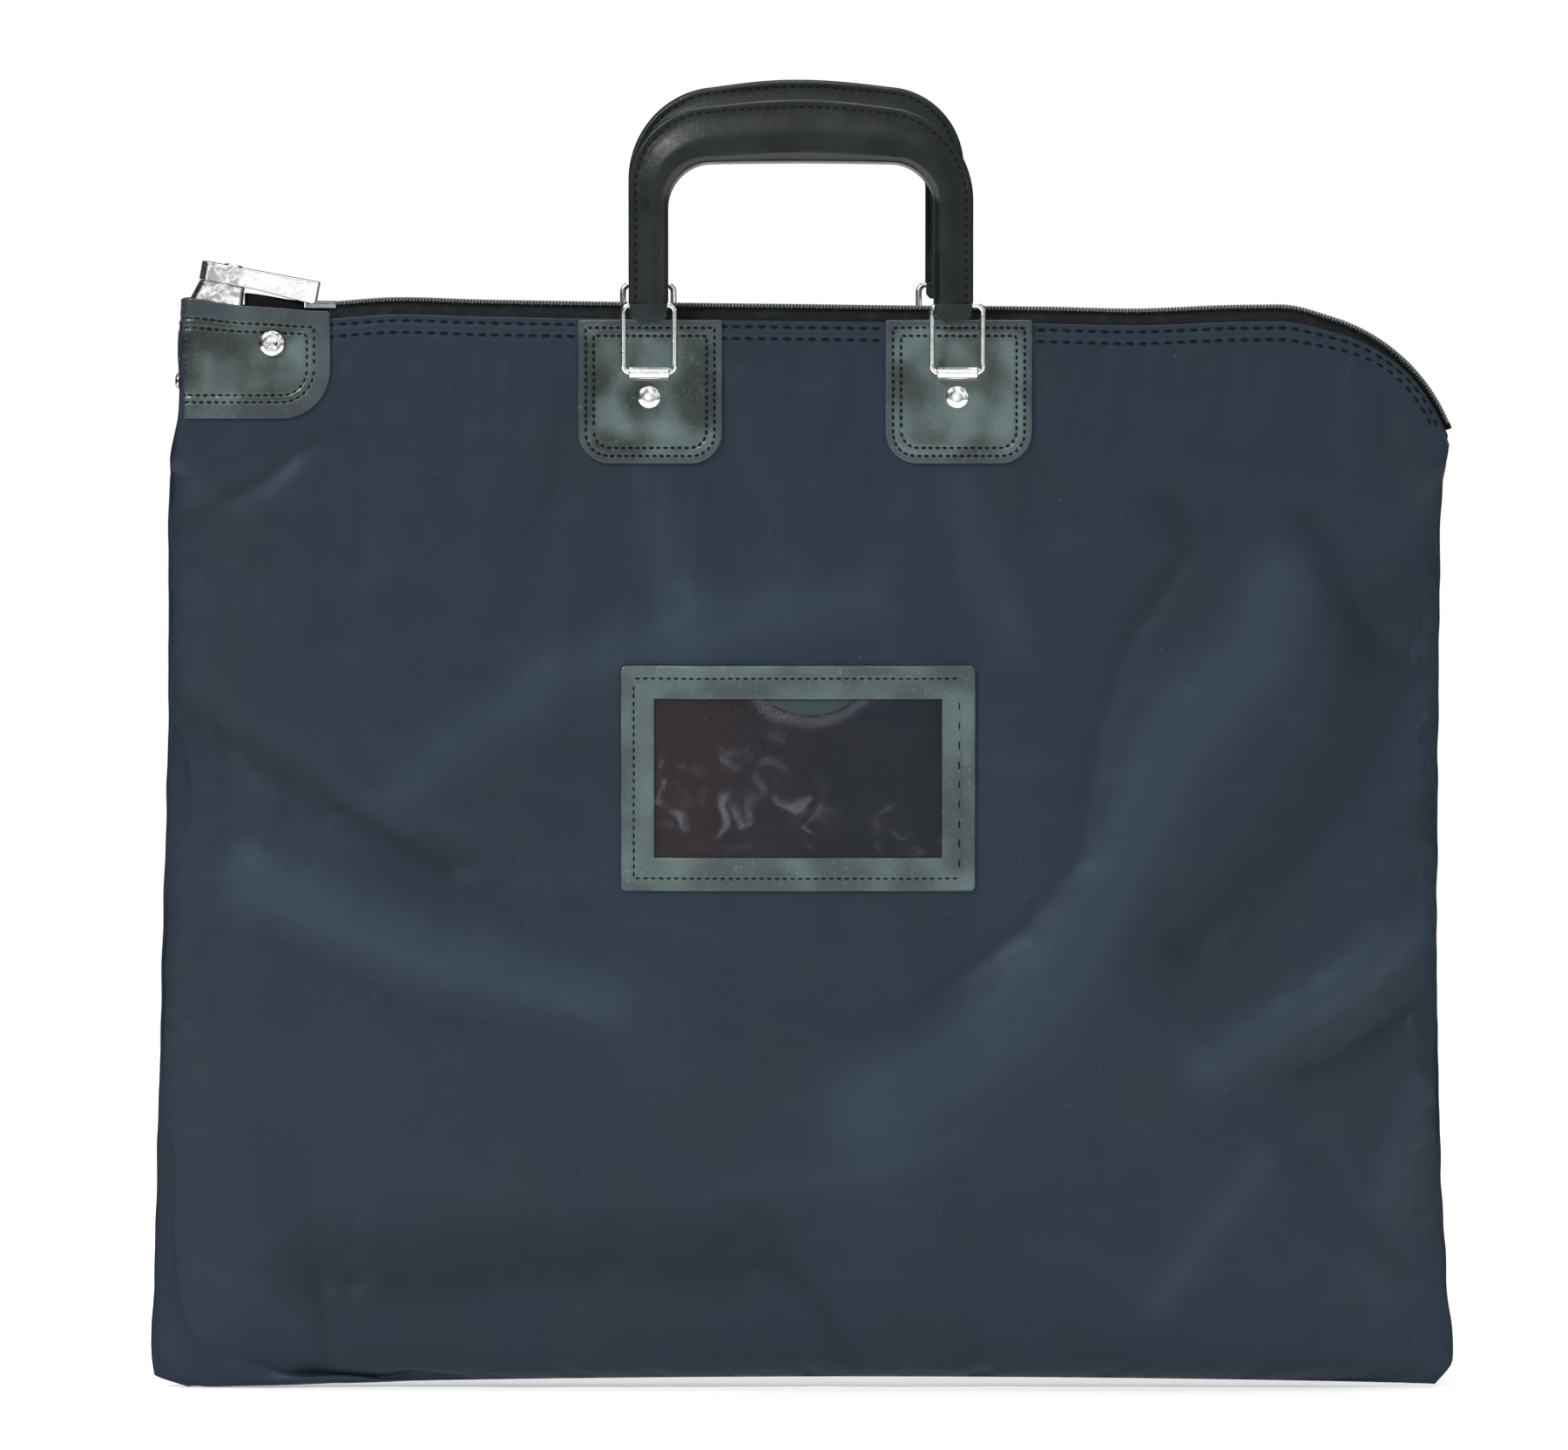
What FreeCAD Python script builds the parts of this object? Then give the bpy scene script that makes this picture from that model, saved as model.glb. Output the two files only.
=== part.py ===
"""Locking cash deposit bag as a parametric FreeCAD document, in millimetres.

A flat zipped bag of coated nylon, with a curved top corner, a pop-up key lock at the closed end of the
zipper, a card window, and on each face a carrying handle that hangs from two wire rings.
X runs along the zipper, away from the lock. The front faces -Y. +Z is up, from the bottom edge.
"""

import FreeCAD, Part
import math
import os

import Sketcher
from FreeCAD import Placement, Rotation, Vector

# ---------------------------------------------------------------------------------------------------------
# Driving dimensions: alias, value, meaning. Millimetres, and degrees where it says so.
# ---------------------------------------------------------------------------------------------------------

DIMENSIONS = [
    ("base_half_width", 254.0, "bag, half width across the bottom corners"),
    ("side_half_width", 246.0, "bag, half width from mid height up"),
    ("lock_end_x", 240.2, "bag, distance from the middle to the end that holds the lock"),
    ("base_arch", 3.5, "bag, rise of the bottom edge at the middle"),
    ("hem_height", 414.5, "panels, height of the top hem"),
    ("cloth", 0.8, "panels, thickness of the laminated nylon"),
    ("seam_half_depth", 1.2, "panels, half depth at the sewn side and bottom seams"),
    ("top_half_depth", 7.0, "panels, half depth along the top band"),
    ("belly_half_depth", 15.5, "panels, half depth low down"),
    ("chain_height", 419.9, "zipper, height of the middle of the chain"),
    ("corner_radius", 72.0, "zipper, radius of the curved top corner"),
    ("corner_x", 183.8, "zipper, where the curved corner begins"),
    ("corner_sweep", 69.0, "zipper, angle of the curved corner in degrees"),
    ("hem_inset", 5.4, "distance from the chain to the hem"),
    ("tape_start_x", -213.6, "zipper, end of the tapes at the lock"),
    ("chain_start_x", -187.5, "zipper, first tooth at the lock"),
    ("tab_x", 59.4, "handle tabs, distance of each from the middle"),
    ("tab_width", 55.6, "handle tabs, width"),
    ("tab_top", 415.0, "handle tabs, height of the top edge"),
    ("tab_height", 55.2, "handle tabs, height"),
    ("tab_corner", 11.0, "handle tabs, radius of the two lower corners"),
    ("tab_thick", 1.8, "handle tabs, thickness with the backing"),
    ("gap", 0.25, "clearance between a panel and what is sewn on it"),
    ("rear_lift", 7.0, "rear clips, rivets, rings and handle sit this much higher"),
    ("rear_shift", -2.3, "rear clips, rivets, rings and handle sit this much to the side"),
    ("clip_height", 395.0, "clips, height of the ring's lower bar"),
    ("clip_half_width", 7.5, "clips, half width of the sleeve"),
    ("clip_metal", 1.35, "clips, wall of the sleeve"),
    ("clip_out", 4.6, "clips, distance of the ring's bar from the panel"),
    ("leaf", 0.8, "clips, thickness of the leaf under the tab"),
    ("leaf_bottom", 376.5, "clips, height of the leaf's lower end"),
    ("rivet_drop", 9.4, "tab rivets, distance below the ring's bar"),
    ("rivet_head", 4.55, "tab rivets, radius of the head"),
    ("rivet_shank", 1.7, "tab rivets, radius of the shank"),
    ("wire", 1.15, "rings, radius of the wire"),
    ("fit", 0.05, "running clearance of a pin or bar in its bore"),
    ("ring_half_width", 9.8, "rings, half width to the middle of the wire"),
    ("ring_length", 26.3, "rings, distance between the two bars"),
    ("ring_corner", 2.2, "rings, bend radius to the middle of the wire"),
    ("ring_lean", 7.0, "rings, lean away from the bag in degrees"),
    ("handle_top", 79.5, "handles, height above the rings' upper bars"),
    ("handle_crown", 6.0, "handles, rise of the top from the corners to the middle"),
    ("crown_radius", 190.0, "handles, radius of the crown"),
    ("handle_inside", 55.8, "handles, height of the grip's underside above the bars"),
    ("leg_half_width", 7.7, "handles, half width of a leg"),
    ("leg_end", -1.7, "handles, where the cover ends, below the bars"),
    ("cap_end", -5.6, "handles, where the end caps end, below the bars"),
    ("cap_half_width", 7.2, "handles, half width of a leg at the ring"),
    ("handle_thick", 11.0, "handles, thickness of the grip"),
    ("leg_thick", 8.0, "handles, thickness of the legs at the rings"),
    ("handle_corner", 35.0, "handles, radius of the outer corners"),
    ("handle_inner_corner", 16.0, "handles, radius of the inner corners"),
    ("core_margin", 3.2, "handles, cover around the core"),
    ("core_thick", 5.0, "handles, thickness of the core"),
    ("window_x", -1.9, "card window, middle"),
    ("window_z", 238.3, "card window, height of its middle"),
    ("window_width", 136.7, "card window, outer width of the frame"),
    ("window_height", 87.1, "card window, outer height of the frame"),
    ("window_border", 12.8, "card window, width of the border"),
    ("patch_right", -183.0, "lock patch, edge on the zipper's side"),
    ("patch_bottom", 377.0, "lock patch, lower edge"),
    ("patch_top", 423.0, "lock patch, upper edge at the far end"),
    ("patch_step", 419.2, "lock patch, upper edge beside the lock"),
    ("patch_corner", 19.0, "lock patch, radius of its lower corner"),
    ("patch_thick", 1.1, "lock patch, thickness"),
    ("lock_tilt", 10.5, "lock, tilt of its arm in degrees"),
    ("pivot_x", -189.5, "lock arm, pivot on the zipper slider"),
    ("pivot_z", 424.6, "lock arm, height of the pivot"),
    ("arm_length", 44.0, "lock arm, length beyond the pivot"),
    ("arm_half_width", 5.5, "lock arm, half width"),
    ("arm_top", 5.4, "lock arm, height above the pivot"),
    ("arm_bottom", -1.8, "lock arm, underside where it lies on the housing"),
    ("arm_skirt", -3.4, "lock arm, lowest edge, beside the slider"),
    ("arm_pin", 0.8, "lock arm, radius of its pin"),
    ("barrel_u", 32.0, "lock barrel, distance from the pivot along the arm"),
    ("barrel", 3.6, "lock barrel, radius of the head"),
    ("barrel_neck", 2.75, "lock barrel, radius of the neck"),
    ("barrel_proud", 0.6, "lock barrel, height above the arm when pressed in"),
    ("plug", 1.9, "key plug, radius"),
    ("bolt_depth", 9.0, "key plug, reach of the bolt below the pivot"),
    ("bolt_thick", 2.4, "key plug, thickness of the bolt"),
    ("bolt_half_length", 3.4, "key plug, half length of the bolt"),
    ("bolt_half_width", 1.6, "key plug, half width of the bolt"),
    ("housing_left", -237.0, "lock housing, far end of the block"),
    ("housing_right", -214.0, "lock housing, near end of the block"),
    ("head_far", 44.4, "lock housing, far end of the head, from the pivot along the arm"),
    ("head_near", 26.0, "lock housing, near end of the head"),
    ("head_top", -1.95, "lock housing, top of the head, from the pivot"),
    ("housing_bottom", 398.0, "lock housing, bottom of the block"),
    ("housing_half_width", 6.0, "lock housing, half width"),
    ("lock_rivet_x", -204.8, "lock rivet, position along the bag"),
    ("lock_rivet_z", 406.2, "lock rivet, height"),
    ("lock_rivet_head", 5.0, "lock rivet, radius of the head"),
    ("end_rivet_z", 391.5, "end rivet, height"),
]

doc = FreeCAD.newDocument("cash_deposit_bag")
sheet = doc.addObject("Spreadsheet::Sheet", "dims")
for row, (alias, value, meaning) in enumerate(DIMENSIONS, start=1):
    sheet.set(f"A{row}", meaning)
    sheet.set(f"B{row}", str(value))
    sheet.setAlias(f"B{row}", alias)
doc.recompute()

kept = []  # the sub-parts that are written, in order
FRONT, REAR = "front", "rear"
OUT = Vector(0, -1, 0)  # in each piece's own frame, away from the bag


def d(alias):
    """Value of one cell of the sheet."""
    return float(getattr(sheet, alias))


def keep(obj, label):
    """Names a finished sub-part, and lists it to be written."""
    obj.Label = label
    kept.append(obj)
    return obj


# ---------------------------------------------------------------------------------------------------------
# Small tools for primitives, booleans and bodies. Sizes given as text are expressions on the sheet.
# ---------------------------------------------------------------------------------------------------------


def bind(obj, **expressions):
    for name, expression in expressions.items():
        obj.setExpression(name, expression)
    return obj


def place(obj, x="0", y="0", z="0", rotation=None):
    """Puts an object's origin at a point given as three expressions, turned by a rotation."""
    obj.Placement = Placement(Vector(), rotation or Rotation())
    for axis, expression in zip("xyz", (x, y, z)):
        obj.setExpression(f".Placement.Base.{axis}", expression)
    return obj


def box(name, low, size, rotation=None):
    made = doc.addObject("Part::Box", name)
    bind(made, Length=size[0], Width=size[1], Height=size[2])
    return place(made, *low, rotation)


def rod(name, radius, length, start, along=Vector(0, 0, 1)):
    made = doc.addObject("Part::Cylinder", name)
    bind(made, Radius=radius, Height=length)
    return place(made, *start, Rotation(Vector(0, 0, 1), along))


def fuse(name, *shapes):
    made = doc.addObject("Part::MultiFuse", name)
    made.Shapes = list(shapes)
    return made


def cut(name, base, *tools):
    made = doc.addObject("Part::Cut", name)
    made.Base = base
    made.Tool = tools[0] if len(tools) == 1 else fuse(name + "_tools", *tools)
    return made


def new_body(name):
    return doc.addObject("PartDesign::Body", name)


def new_sketch(body, plane, name, offset=None):
    """A sketch on one of the body's own origin planes, moved along its normal by offset if given."""
    made = body.newObject("Sketcher::SketchObject", name)
    support = [f for f in body.Origin.OriginFeatures if f.Role == plane][0]
    made.AttachmentSupport = [(support, "")]
    made.MapMode = "FlatFace"
    if offset is not None:
        made.setExpression(".AttachmentOffset.Base.z", offset)
    return made


def value_of(expression):
    """Number that an expression on the sheet stands for."""
    return float(sheet.evalExpression(expression))


def polygon(sketch, corners):
    """Closed straight-sided profile whose corners are pairs of expressions."""
    first = sketch.GeometryCount
    points = [Vector(value_of(x), value_of(y), 0) for x, y in corners]
    count = len(points)
    for i, point in enumerate(points):
        sketch.addGeometry(Part.LineSegment(point, points[(i + 1) % count]))
    for i, (x, y) in enumerate(corners):
        line, following = first + i, first + (i + 1) % count
        sketch.addConstraint(Sketcher.Constraint("Coincident", line, 2, following, 1))
        for kind, size, expression in (("DistanceX", points[i].x, x), ("DistanceY", points[i].y, y)):
            n = sketch.addConstraint(Sketcher.Constraint(kind, -1, 1, line, 1, size))
            sketch.setExpression(f"Constraints[{n}]", expression)
    return sketch


def circle(sketch, x, y, radius):
    """Circle whose middle and radius are expressions."""
    middle = Vector(value_of(x), value_of(y), 0)
    geo = sketch.addGeometry(Part.Circle(middle, Vector(0, 0, 1), value_of(radius)))
    sizes = (
        (Sketcher.Constraint("Radius", geo, value_of(radius)), radius),
        (Sketcher.Constraint("DistanceX", -1, 1, geo, 3, middle.x), x),
        (Sketcher.Constraint("DistanceY", -1, 1, geo, 3, middle.y), y),
    )
    for constraint, expression in sizes:
        sketch.setExpression(f"Constraints[{sketch.addConstraint(constraint)}]", expression)
    return sketch


def rounded_loop(sketch, half_width, low, high, radius):
    """Rectangle with round corners, about the sketch's vertical axis: an open run of tangent lines and arcs."""
    w, b, t, r = (value_of(e) for e in (half_width, low, high, radius))
    quarter = math.pi / 2
    lines = [((-w + r, b), (w - r, b)), ((w, b + r), (w, t - r)), ((w - r, t), (-w + r, t)),
             ((-w, t - r), (-w, b + r))]
    middles = [(w - r, b + r, 3), (w - r, t - r, 0), (-w + r, t - r, 1), (-w + r, b + r, 2)]
    for start, end in lines:
        sketch.addGeometry(Part.LineSegment(Vector(*start, 0), Vector(*end, 0)))
    for x, y, turn in middles:
        whole = Part.Circle(Vector(x, y, 0), Vector(0, 0, 1), r)
        sketch.addGeometry(Part.ArcOfCircle(whole, turn * quarter, (turn + 1) * quarter))
    for i in range(4):
        sketch.addConstraint(Sketcher.Constraint("Tangent", i, 2, 4 + i, 1))
        sketch.addConstraint(Sketcher.Constraint("Tangent", 4 + i, 2, (i + 1) % 4, 1))
        n = sketch.addConstraint(Sketcher.Constraint("Radius", 4 + i, r))
        sketch.setExpression(f"Constraints[{n}]", radius)
    bounds = (("DistanceX", 1, w, half_width), ("DistanceX", 3, -w, f"-({half_width})"),
              ("DistanceY", 0, b, low), ("DistanceY", 2, t, high))
    for kind, line, size, expression in bounds:
        n = sketch.addConstraint(Sketcher.Constraint(kind, -1, 1, line, 1, size))
        sketch.setExpression(f"Constraints[{n}]", expression)
    return sketch


def pad(body, sketch, name, length, midplane=False):
    """Pads a sketch along its normal, or equally to both sides of its plane."""
    made = body.newObject("PartDesign::Pad", name)
    made.Profile = sketch
    made.Midplane = midplane
    bind(made, Length=length)
    doc.recompute()
    return made


def pocket(body, sketch, name, depth=None, reverse=False):
    """Cuts a sketch through everything on both sides, or to a depth. Stops if nothing was cut."""
    before = body.Tip.Shape.Volume
    made = body.newObject("PartDesign::Pocket", name)
    made.Profile = sketch
    if depth is None:
        made.Type = 1
        made.Midplane = True
    else:
        bind(made, Length=depth)
        made.Reversed = reverse
    doc.recompute()
    if not made.Shape.Volume < before - 1e-6:
        raise RuntimeError(f"{name} cuts nothing")
    return made


def edges_where(shape, test):
    """Names of the edges whose middle point and edge pass a test."""
    names = []
    for i, edge in enumerate(shape.Edges, start=1):
        middle = edge.valueAt((edge.FirstParameter + edge.LastParameter) / 2)
        if test(middle, edge):
            names.append(f"Edge{i}")
    return names


def dress(body, kind, name, names, **sizes):
    """Fillet or Chamfer on the named edges of the body's tip."""
    base = body.Tip
    made = body.newObject(f"PartDesign::{kind}", name)
    made.Base = (base, names)
    bind(made, **sizes)
    doc.recompute()
    return made


def across(edge):
    """True for a straight edge along Y."""
    if edge.Curve.TypeId != "Part::GeomLine":
        return False
    return abs(abs(edge.Curve.Direction.y) - 1) < 1e-6


def revolve(body, sketch, name, axis):
    """Turns a profile a full turn about one of its sketch's own axes."""
    made = body.newObject("PartDesign::Revolution", name)
    made.Profile = sketch
    made.ReferenceAxis = (sketch, [axis])
    made.Angle = 360
    doc.recompute()
    return made


# ---------------------------------------------------------------------------------------------------------
# The bag's soft form. Both panels share one depth, measured outwards from the middle plane.
# ---------------------------------------------------------------------------------------------------------

BELLY_FROM, BELLY_TO = 110.0, 352.0  # heights between which the belly eases into the flat top band
SIDE_MARGIN, BASE_MARGIN = 45.0, 70.0  # how far in from a seam the cloth reaches its full depth
OPEN_FROM, OPEN_TO = 320.0, 367.0  # heights between which the side seams open towards the top
OPEN_MARGIN = 5.0
FAR_END_X = 6.0  # how much wider the bag is at the open end of the zipper
KNOTS_X = [-262, -254, -249, -246, -244.5, -243, -241, -239, -236, -231, -221, -208, -180, -130, -70, 0, 70,
          130, 180, 208, 221, 231, 239, 243, 245, 247, 249, 251, 253, 262]
KNOTS_Z = [-14, 0, 10, 22, 38, 56, 76, 110, 150, 190, 230, 270, 300, 318, 330, 339, 348, 357, 366, 375, 384,
          396, 412, 430]


def ease(share):
    share = min(1.0, max(0.0, share))
    return share * share * (3 - 2 * share)


def rise(distance, margin):
    """How far the cloth has come out, from 0 at a seam to 1, one margin in from it."""
    return math.sin(math.pi / 2 * min(1.0, max(0.0, distance / margin)))


def half_depth(x, z):
    top, belly, seam = d("top_half_depth"), d("belly_half_depth"), d("seam_half_depth")
    full = belly + (top - belly) * ease((z - BELLY_FROM) / (BELLY_TO - BELLY_FROM))
    opened = ease((z - OPEN_FROM) / (OPEN_TO - OPEN_FROM))
    margin = SIDE_MARGIN + (OPEN_MARGIN - SIDE_MARGIN) * opened
    edge = d("side_half_width")
    closing = rise(edge + x, margin) * rise(edge + FAR_END_X * opened - x, margin) * rise(z + 2, BASE_MARGIN)
    return seam + (full - seam) * closing


def pole_positions(knots):
    """Where the poles of a cubic spline lie, for its parameter to be the position itself."""
    full = [knots[0]] * 3 + knots + [knots[-1]] * 3
    return [sum(full[i + 1:i + 4]) / 3 for i in range(len(full) - 4)]


def draped(name, outline, inner, outer, side):
    """Sheet that follows a panel: the space between two distances out from it, cut to an outline in XZ."""
    sign = -1 if side == FRONT else 1
    poles = [[Vector(x, sign * (half_depth(x, z) + inner), z) for z in pole_positions(KNOTS_Z)]
             for x in pole_positions(KNOTS_X)]
    ends_x, ends_z = ([4] + [1] * (len(knots) - 2) + [4] for knots in (KNOTS_X, KNOTS_Z))
    surface = Part.BSplineSurface()
    surface.buildFromPolesMultsKnots(poles, ends_x, ends_z, KNOTS_X, KNOTS_Z, False, False, 3, 3)
    sheet_solid = surface.toShape().extrude(Vector(0, sign * (outer - inner), 0))
    reach = 40
    prism = Part.Face(outline).extrude(Vector(0, sign * reach, 0))
    made = doc.addObject("Part::Feature", name)
    made.Shape = sheet_solid.common(prism).Solids[0]
    return made


def at(x, z):
    return Vector(x, 0, z)


def line(a, b):
    return Part.LineSegment(at(*a), at(*b)).toShape()


def arc(a, middle, b):
    return Part.Arc(at(*a), at(*middle), at(*b)).toShape()


def on_corner(radius, angle):
    """Point on the curved top corner, at an angle back from straight up, in degrees."""
    turn = math.radians(angle)
    middle_z = d("chain_height") - d("corner_radius")
    return d("corner_x") + radius * math.sin(turn), middle_z + radius * math.cos(turn)


def panel_outline():
    base, side, top = d("base_half_width"), d("side_half_width"), d("hem_height")
    lock_x, sweep = d("lock_end_x"), d("corner_sweep")
    radius = top - (d("chain_height") - d("corner_radius"))
    corner_end = on_corner(radius, sweep)
    left_foot, right_foot = (-base + 14, 0.3), (base - 8, 1.2)
    edges = [
        line((-base, 4.7), left_foot),
        arc(left_foot, (0, d("base_arch")), right_foot),
        line(right_foot, (base, 10)),
        arc((base, 10), (side + 3.5, 50), (side, 170)),
        line((side, 170), (corner_end[0], corner_end[1] - 14)),
        line((corner_end[0], corner_end[1] - 14), corner_end),
        arc(corner_end, on_corner(radius, sweep / 2), (d("corner_x"), top)),
        line((d("corner_x"), top), (-lock_x, top)),
        line((-lock_x, top), (-lock_x, 378)),
        line((-lock_x, 378), (-side, 368)),
        line((-side, 368), (-side, 262)),
        line((-side, 262), (-base, 4.7)),
    ]
    return Part.Wire(edges)


def make_panel(side):
    """Panel of the bag, pierced for its two tab rivets and for the lock's rivet."""
    cloth = draped(f"{side}_panel_cloth", panel_outline(), -d("cloth"), 0, side)
    height = f"dims.clip_height + {lift(side)} - dims.rivet_drop"
    places = [(mount_x(side, sign), height) for _, sign in MOUNTS]
    places.append(("dims.lock_rivet_x", "dims.lock_rivet_z"))
    outwards = -1 if side == FRONT else 1
    holes = [rod(f"{side}_panel_hole_{n}", "dims.rivet_shank + 0.1", "20", (x, f"{outwards} * 2", z),
                 Vector(0, outwards, 0)) for n, (x, z) in enumerate(places)]
    keep(cut(f"{side}_panel_cut", cloth, *holes), f"{side}_panel")


# ---------------------------------------------------------------------------------------------------------
# Zipper: two tapes, two rows of teeth, and the stop at the far end
# ---------------------------------------------------------------------------------------------------------


def zipper_path(body, name, start):
    """Spine of the zipper: straight along the hem, then round the curved corner."""
    spine = new_sketch(body, "XZ_Plane", name)
    x, z, radius = d("corner_x"), d("chain_height"), d("corner_radius")
    spine.addGeometry(Part.LineSegment(Vector(value_of(start), z, 0), Vector(x, z, 0)))
    whole = Part.Circle(Vector(x, z - radius, 0), Vector(0, 0, 1), radius)
    up = math.pi / 2
    spine.addGeometry(Part.ArcOfCircle(whole, up - math.radians(d("corner_sweep")), up))
    spine.addConstraint(Sketcher.Constraint("Tangent", 0, 2, 1, 2))
    spine.addConstraint(Sketcher.Constraint("Horizontal", 0))
    sizes = (
        (Sketcher.Constraint("DistanceX", -1, 1, 0, 1, value_of(start)), start),
        (Sketcher.Constraint("DistanceY", -1, 1, 0, 1, z), "dims.chain_height"),
        (Sketcher.Constraint("DistanceX", -1, 1, 0, 2, x), "dims.corner_x"),
        (Sketcher.Constraint("Radius", 1, radius), "dims.corner_radius"),
    )
    for constraint, expression in sizes:
        spine.setExpression(f"Constraints[{spine.addConstraint(constraint)}]", expression)
    return spine


def zipper_run(label, start, corners):
    """Strip of constant section along the zipper. The section's corners are (outwards, up from the chain)."""
    body = new_body(label + "_body")
    section = new_sketch(body, "YZ_Plane", label + "_section", start)
    sign = -1 if FRONT in label else 1
    polygon(section, [(f"{sign} * ({out})", f"dims.chain_height + {up}") for out, up in corners])
    spine = zipper_path(body, label + "_spine", start)
    doc.recompute()
    pipe = body.newObject("PartDesign::AdditivePipe", label + "_sweep")
    pipe.Profile = section
    pipe.Spine = spine
    doc.recompute()
    return body


def make_zipper():
    tape_out = "(dims.top_half_depth - dims.cloth - 0.3)"
    tape = [("1.6", "-1.2"), ("2.6", "-1.2"), (tape_out, "-6.4"), (tape_out, "-15.9"),
            (f"{tape_out} - 0.6", "-15.9"), (f"{tape_out} - 0.6", "-6.6"), ("2.2", "-1.8"), ("1.6", "-1.8")]
    teeth = [("0.1", "-0.8"), ("0.5", "-1.1"), ("2.5", "-1.1"), ("2.9", "-0.7"), ("2.9", "0.7"),
             ("2.5", "1.1"), ("0.5", "1.1"), ("0.1", "0.8")]
    for side in (FRONT, REAR):
        strip = zipper_run(f"zipper_tape_{side}", "dims.tape_start_x", tape)
        hole = new_sketch(strip, "XZ_Plane", f"zipper_tape_{side}_hole")
        circle(hole, "dims.lock_rivet_x", "dims.lock_rivet_z", "dims.rivet_shank + 0.1")
        pocket(strip, hole, f"zipper_tape_{side}_bore")
        keep(strip, f"zipper_tape_{side}")
        keep(zipper_run(f"zipper_teeth_{side}", "dims.chain_start_x", teeth), f"zipper_teeth_{side}")
    x, z = on_corner(d("corner_radius"), d("corner_sweep"))
    stop = doc.addObject("Part::Box", "zipper_stop_block")
    stop.Length, stop.Width, stop.Height = 1.6, 6.4, 3.0
    turn = Rotation(Vector(0, 1, 0), d("corner_sweep"))
    stop.Placement = Placement(Vector(x, 0, z) + turn.multVec(Vector(0.05, -3.2, -1.5)), turn)
    keep(stop, "zipper_end_stop")


# ---------------------------------------------------------------------------------------------------------
# Handle mountings: on each face two tabs, with a clip, a ring, a rivet and its washer each
# ---------------------------------------------------------------------------------------------------------

MOUNTS = [("left", -1), ("right", 1)]


def facing(side):
    """Rotation that turns a front piece to its side of the bag."""
    return Rotation() if side == FRONT else Rotation(Vector(0, 0, 1), 180)


def surface_y(side):
    return "-dims.top_half_depth" if side == FRONT else "dims.top_half_depth"


def mount_x(side, sign):
    shift = "" if side == FRONT else " + dims.rear_shift"
    return f"{sign} * dims.tab_x{shift}"


def lift(side):
    return "0" if side == FRONT else "dims.rear_lift"


def make_tab(side, where, sign):
    """Vinyl tab sewn on the panel, with a recess behind for the clip's leaf, a slot for it and a rivet hole.
    Its frame stands on the panel's surface. Sketch X is reversed on the rear, where the piece is turned."""
    label = f"tab_{side}_{where}"
    body = new_body(label + "_body")
    half, top, low = "dims.tab_width / 2", "dims.tab_top", "dims.tab_top - dims.tab_height"
    outline = new_sketch(body, "XZ_Plane", label + "_outline", "dims.gap")
    polygon(outline, [(f"-({half})", low), (half, low), (half, top), (f"-({half})", top)])
    pad(body, outline, label + "_pad", "dims.tab_thick")
    corners = edges_where(body.Tip.Shape, lambda p, e: across(e) and p.z < value_of(low) + 1)
    dress(body, "Fillet", label + "_corners", corners, Radius="dims.tab_corner")
    shift = "0" if side == FRONT else "-dims.rear_shift"
    high = f"dims.clip_height + {lift(side)}"
    bottom = f"dims.leaf_bottom + {lift(side)}"
    reach = "dims.clip_half_width + 0.3"
    recess = new_sketch(body, "XZ_Plane", label + "_recess_outline", "dims.gap")
    polygon(recess, [(f"{shift} - ({reach})", f"{bottom} - 0.3"), (f"{shift} + {reach}", f"{bottom} - 0.3"),
                     (f"{shift} + {reach}", f"{high} + 1.4"), (f"{shift} - ({reach})", f"{high} + 1.4")])
    pocket(body, recess, label + "_recess", "dims.leaf + 0.1", reverse=True)
    slot = new_sketch(body, "XZ_Plane", label + "_slot_outline")
    polygon(slot, [(f"{shift} - ({reach})", f"{high} - 1.1"), (f"{shift} + {reach}", f"{high} - 1.1"),
                   (f"{shift} + {reach}", f"{high} + 1.1"), (f"{shift} - ({reach})", f"{high} + 1.1")])
    pocket(body, slot, label + "_slot")
    hole = new_sketch(body, "XZ_Plane", label + "_hole_outline")
    circle(hole, shift, f"{high} - dims.rivet_drop", "dims.rivet_shank + 0.1")
    pocket(body, hole, label + "_hole")
    place(body, f"{sign} * dims.tab_x", surface_y(side), "0", facing(side))
    keep(body, label)


def make_clip(side, where, sign):
    """Folded metal clip: a sleeve round the ring's lower bar, a neck, and a leaf under the tab."""
    label = f"clip_{side}_{where}"
    half, width = "dims.clip_half_width", "2 * dims.clip_half_width"
    outer = "dims.wire + dims.fit + dims.clip_metal"
    z = "dims.clip_height"
    sleeve = rod(label + "_sleeve", outer, width, (f"-{half}", "-dims.clip_out", z), Vector(1, 0, 0))
    neck = box(label + "_neck", (f"-{half}", "-dims.clip_out + dims.wire + dims.fit + 0.3", f"{z} - 0.85"),
               (width, "dims.clip_out - dims.gap - dims.wire - dims.fit - 0.3", "1.7"))
    leaf = box(label + "_leaf", (f"-{half}", "-dims.gap - dims.leaf", "dims.leaf_bottom"),
               (width, "dims.leaf", f"{z} + 0.85 - dims.leaf_bottom"))
    bore = rod(label + "_bore", "dims.wire + dims.fit", f"{width} + 2",
               (f"-{half} - 1", "-dims.clip_out", z), Vector(1, 0, 0))
    hole = rod(label + "_hole", "dims.rivet_shank + 0.1", "4", ("0", "0", f"{z} - dims.rivet_drop"), OUT)
    clip = cut(label + "_cut", fuse(label + "_solid", sleeve, neck, leaf), bore, hole)
    place(clip, mount_x(side, sign), surface_y(side), lift(side), facing(side))
    keep(clip, label)


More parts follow.
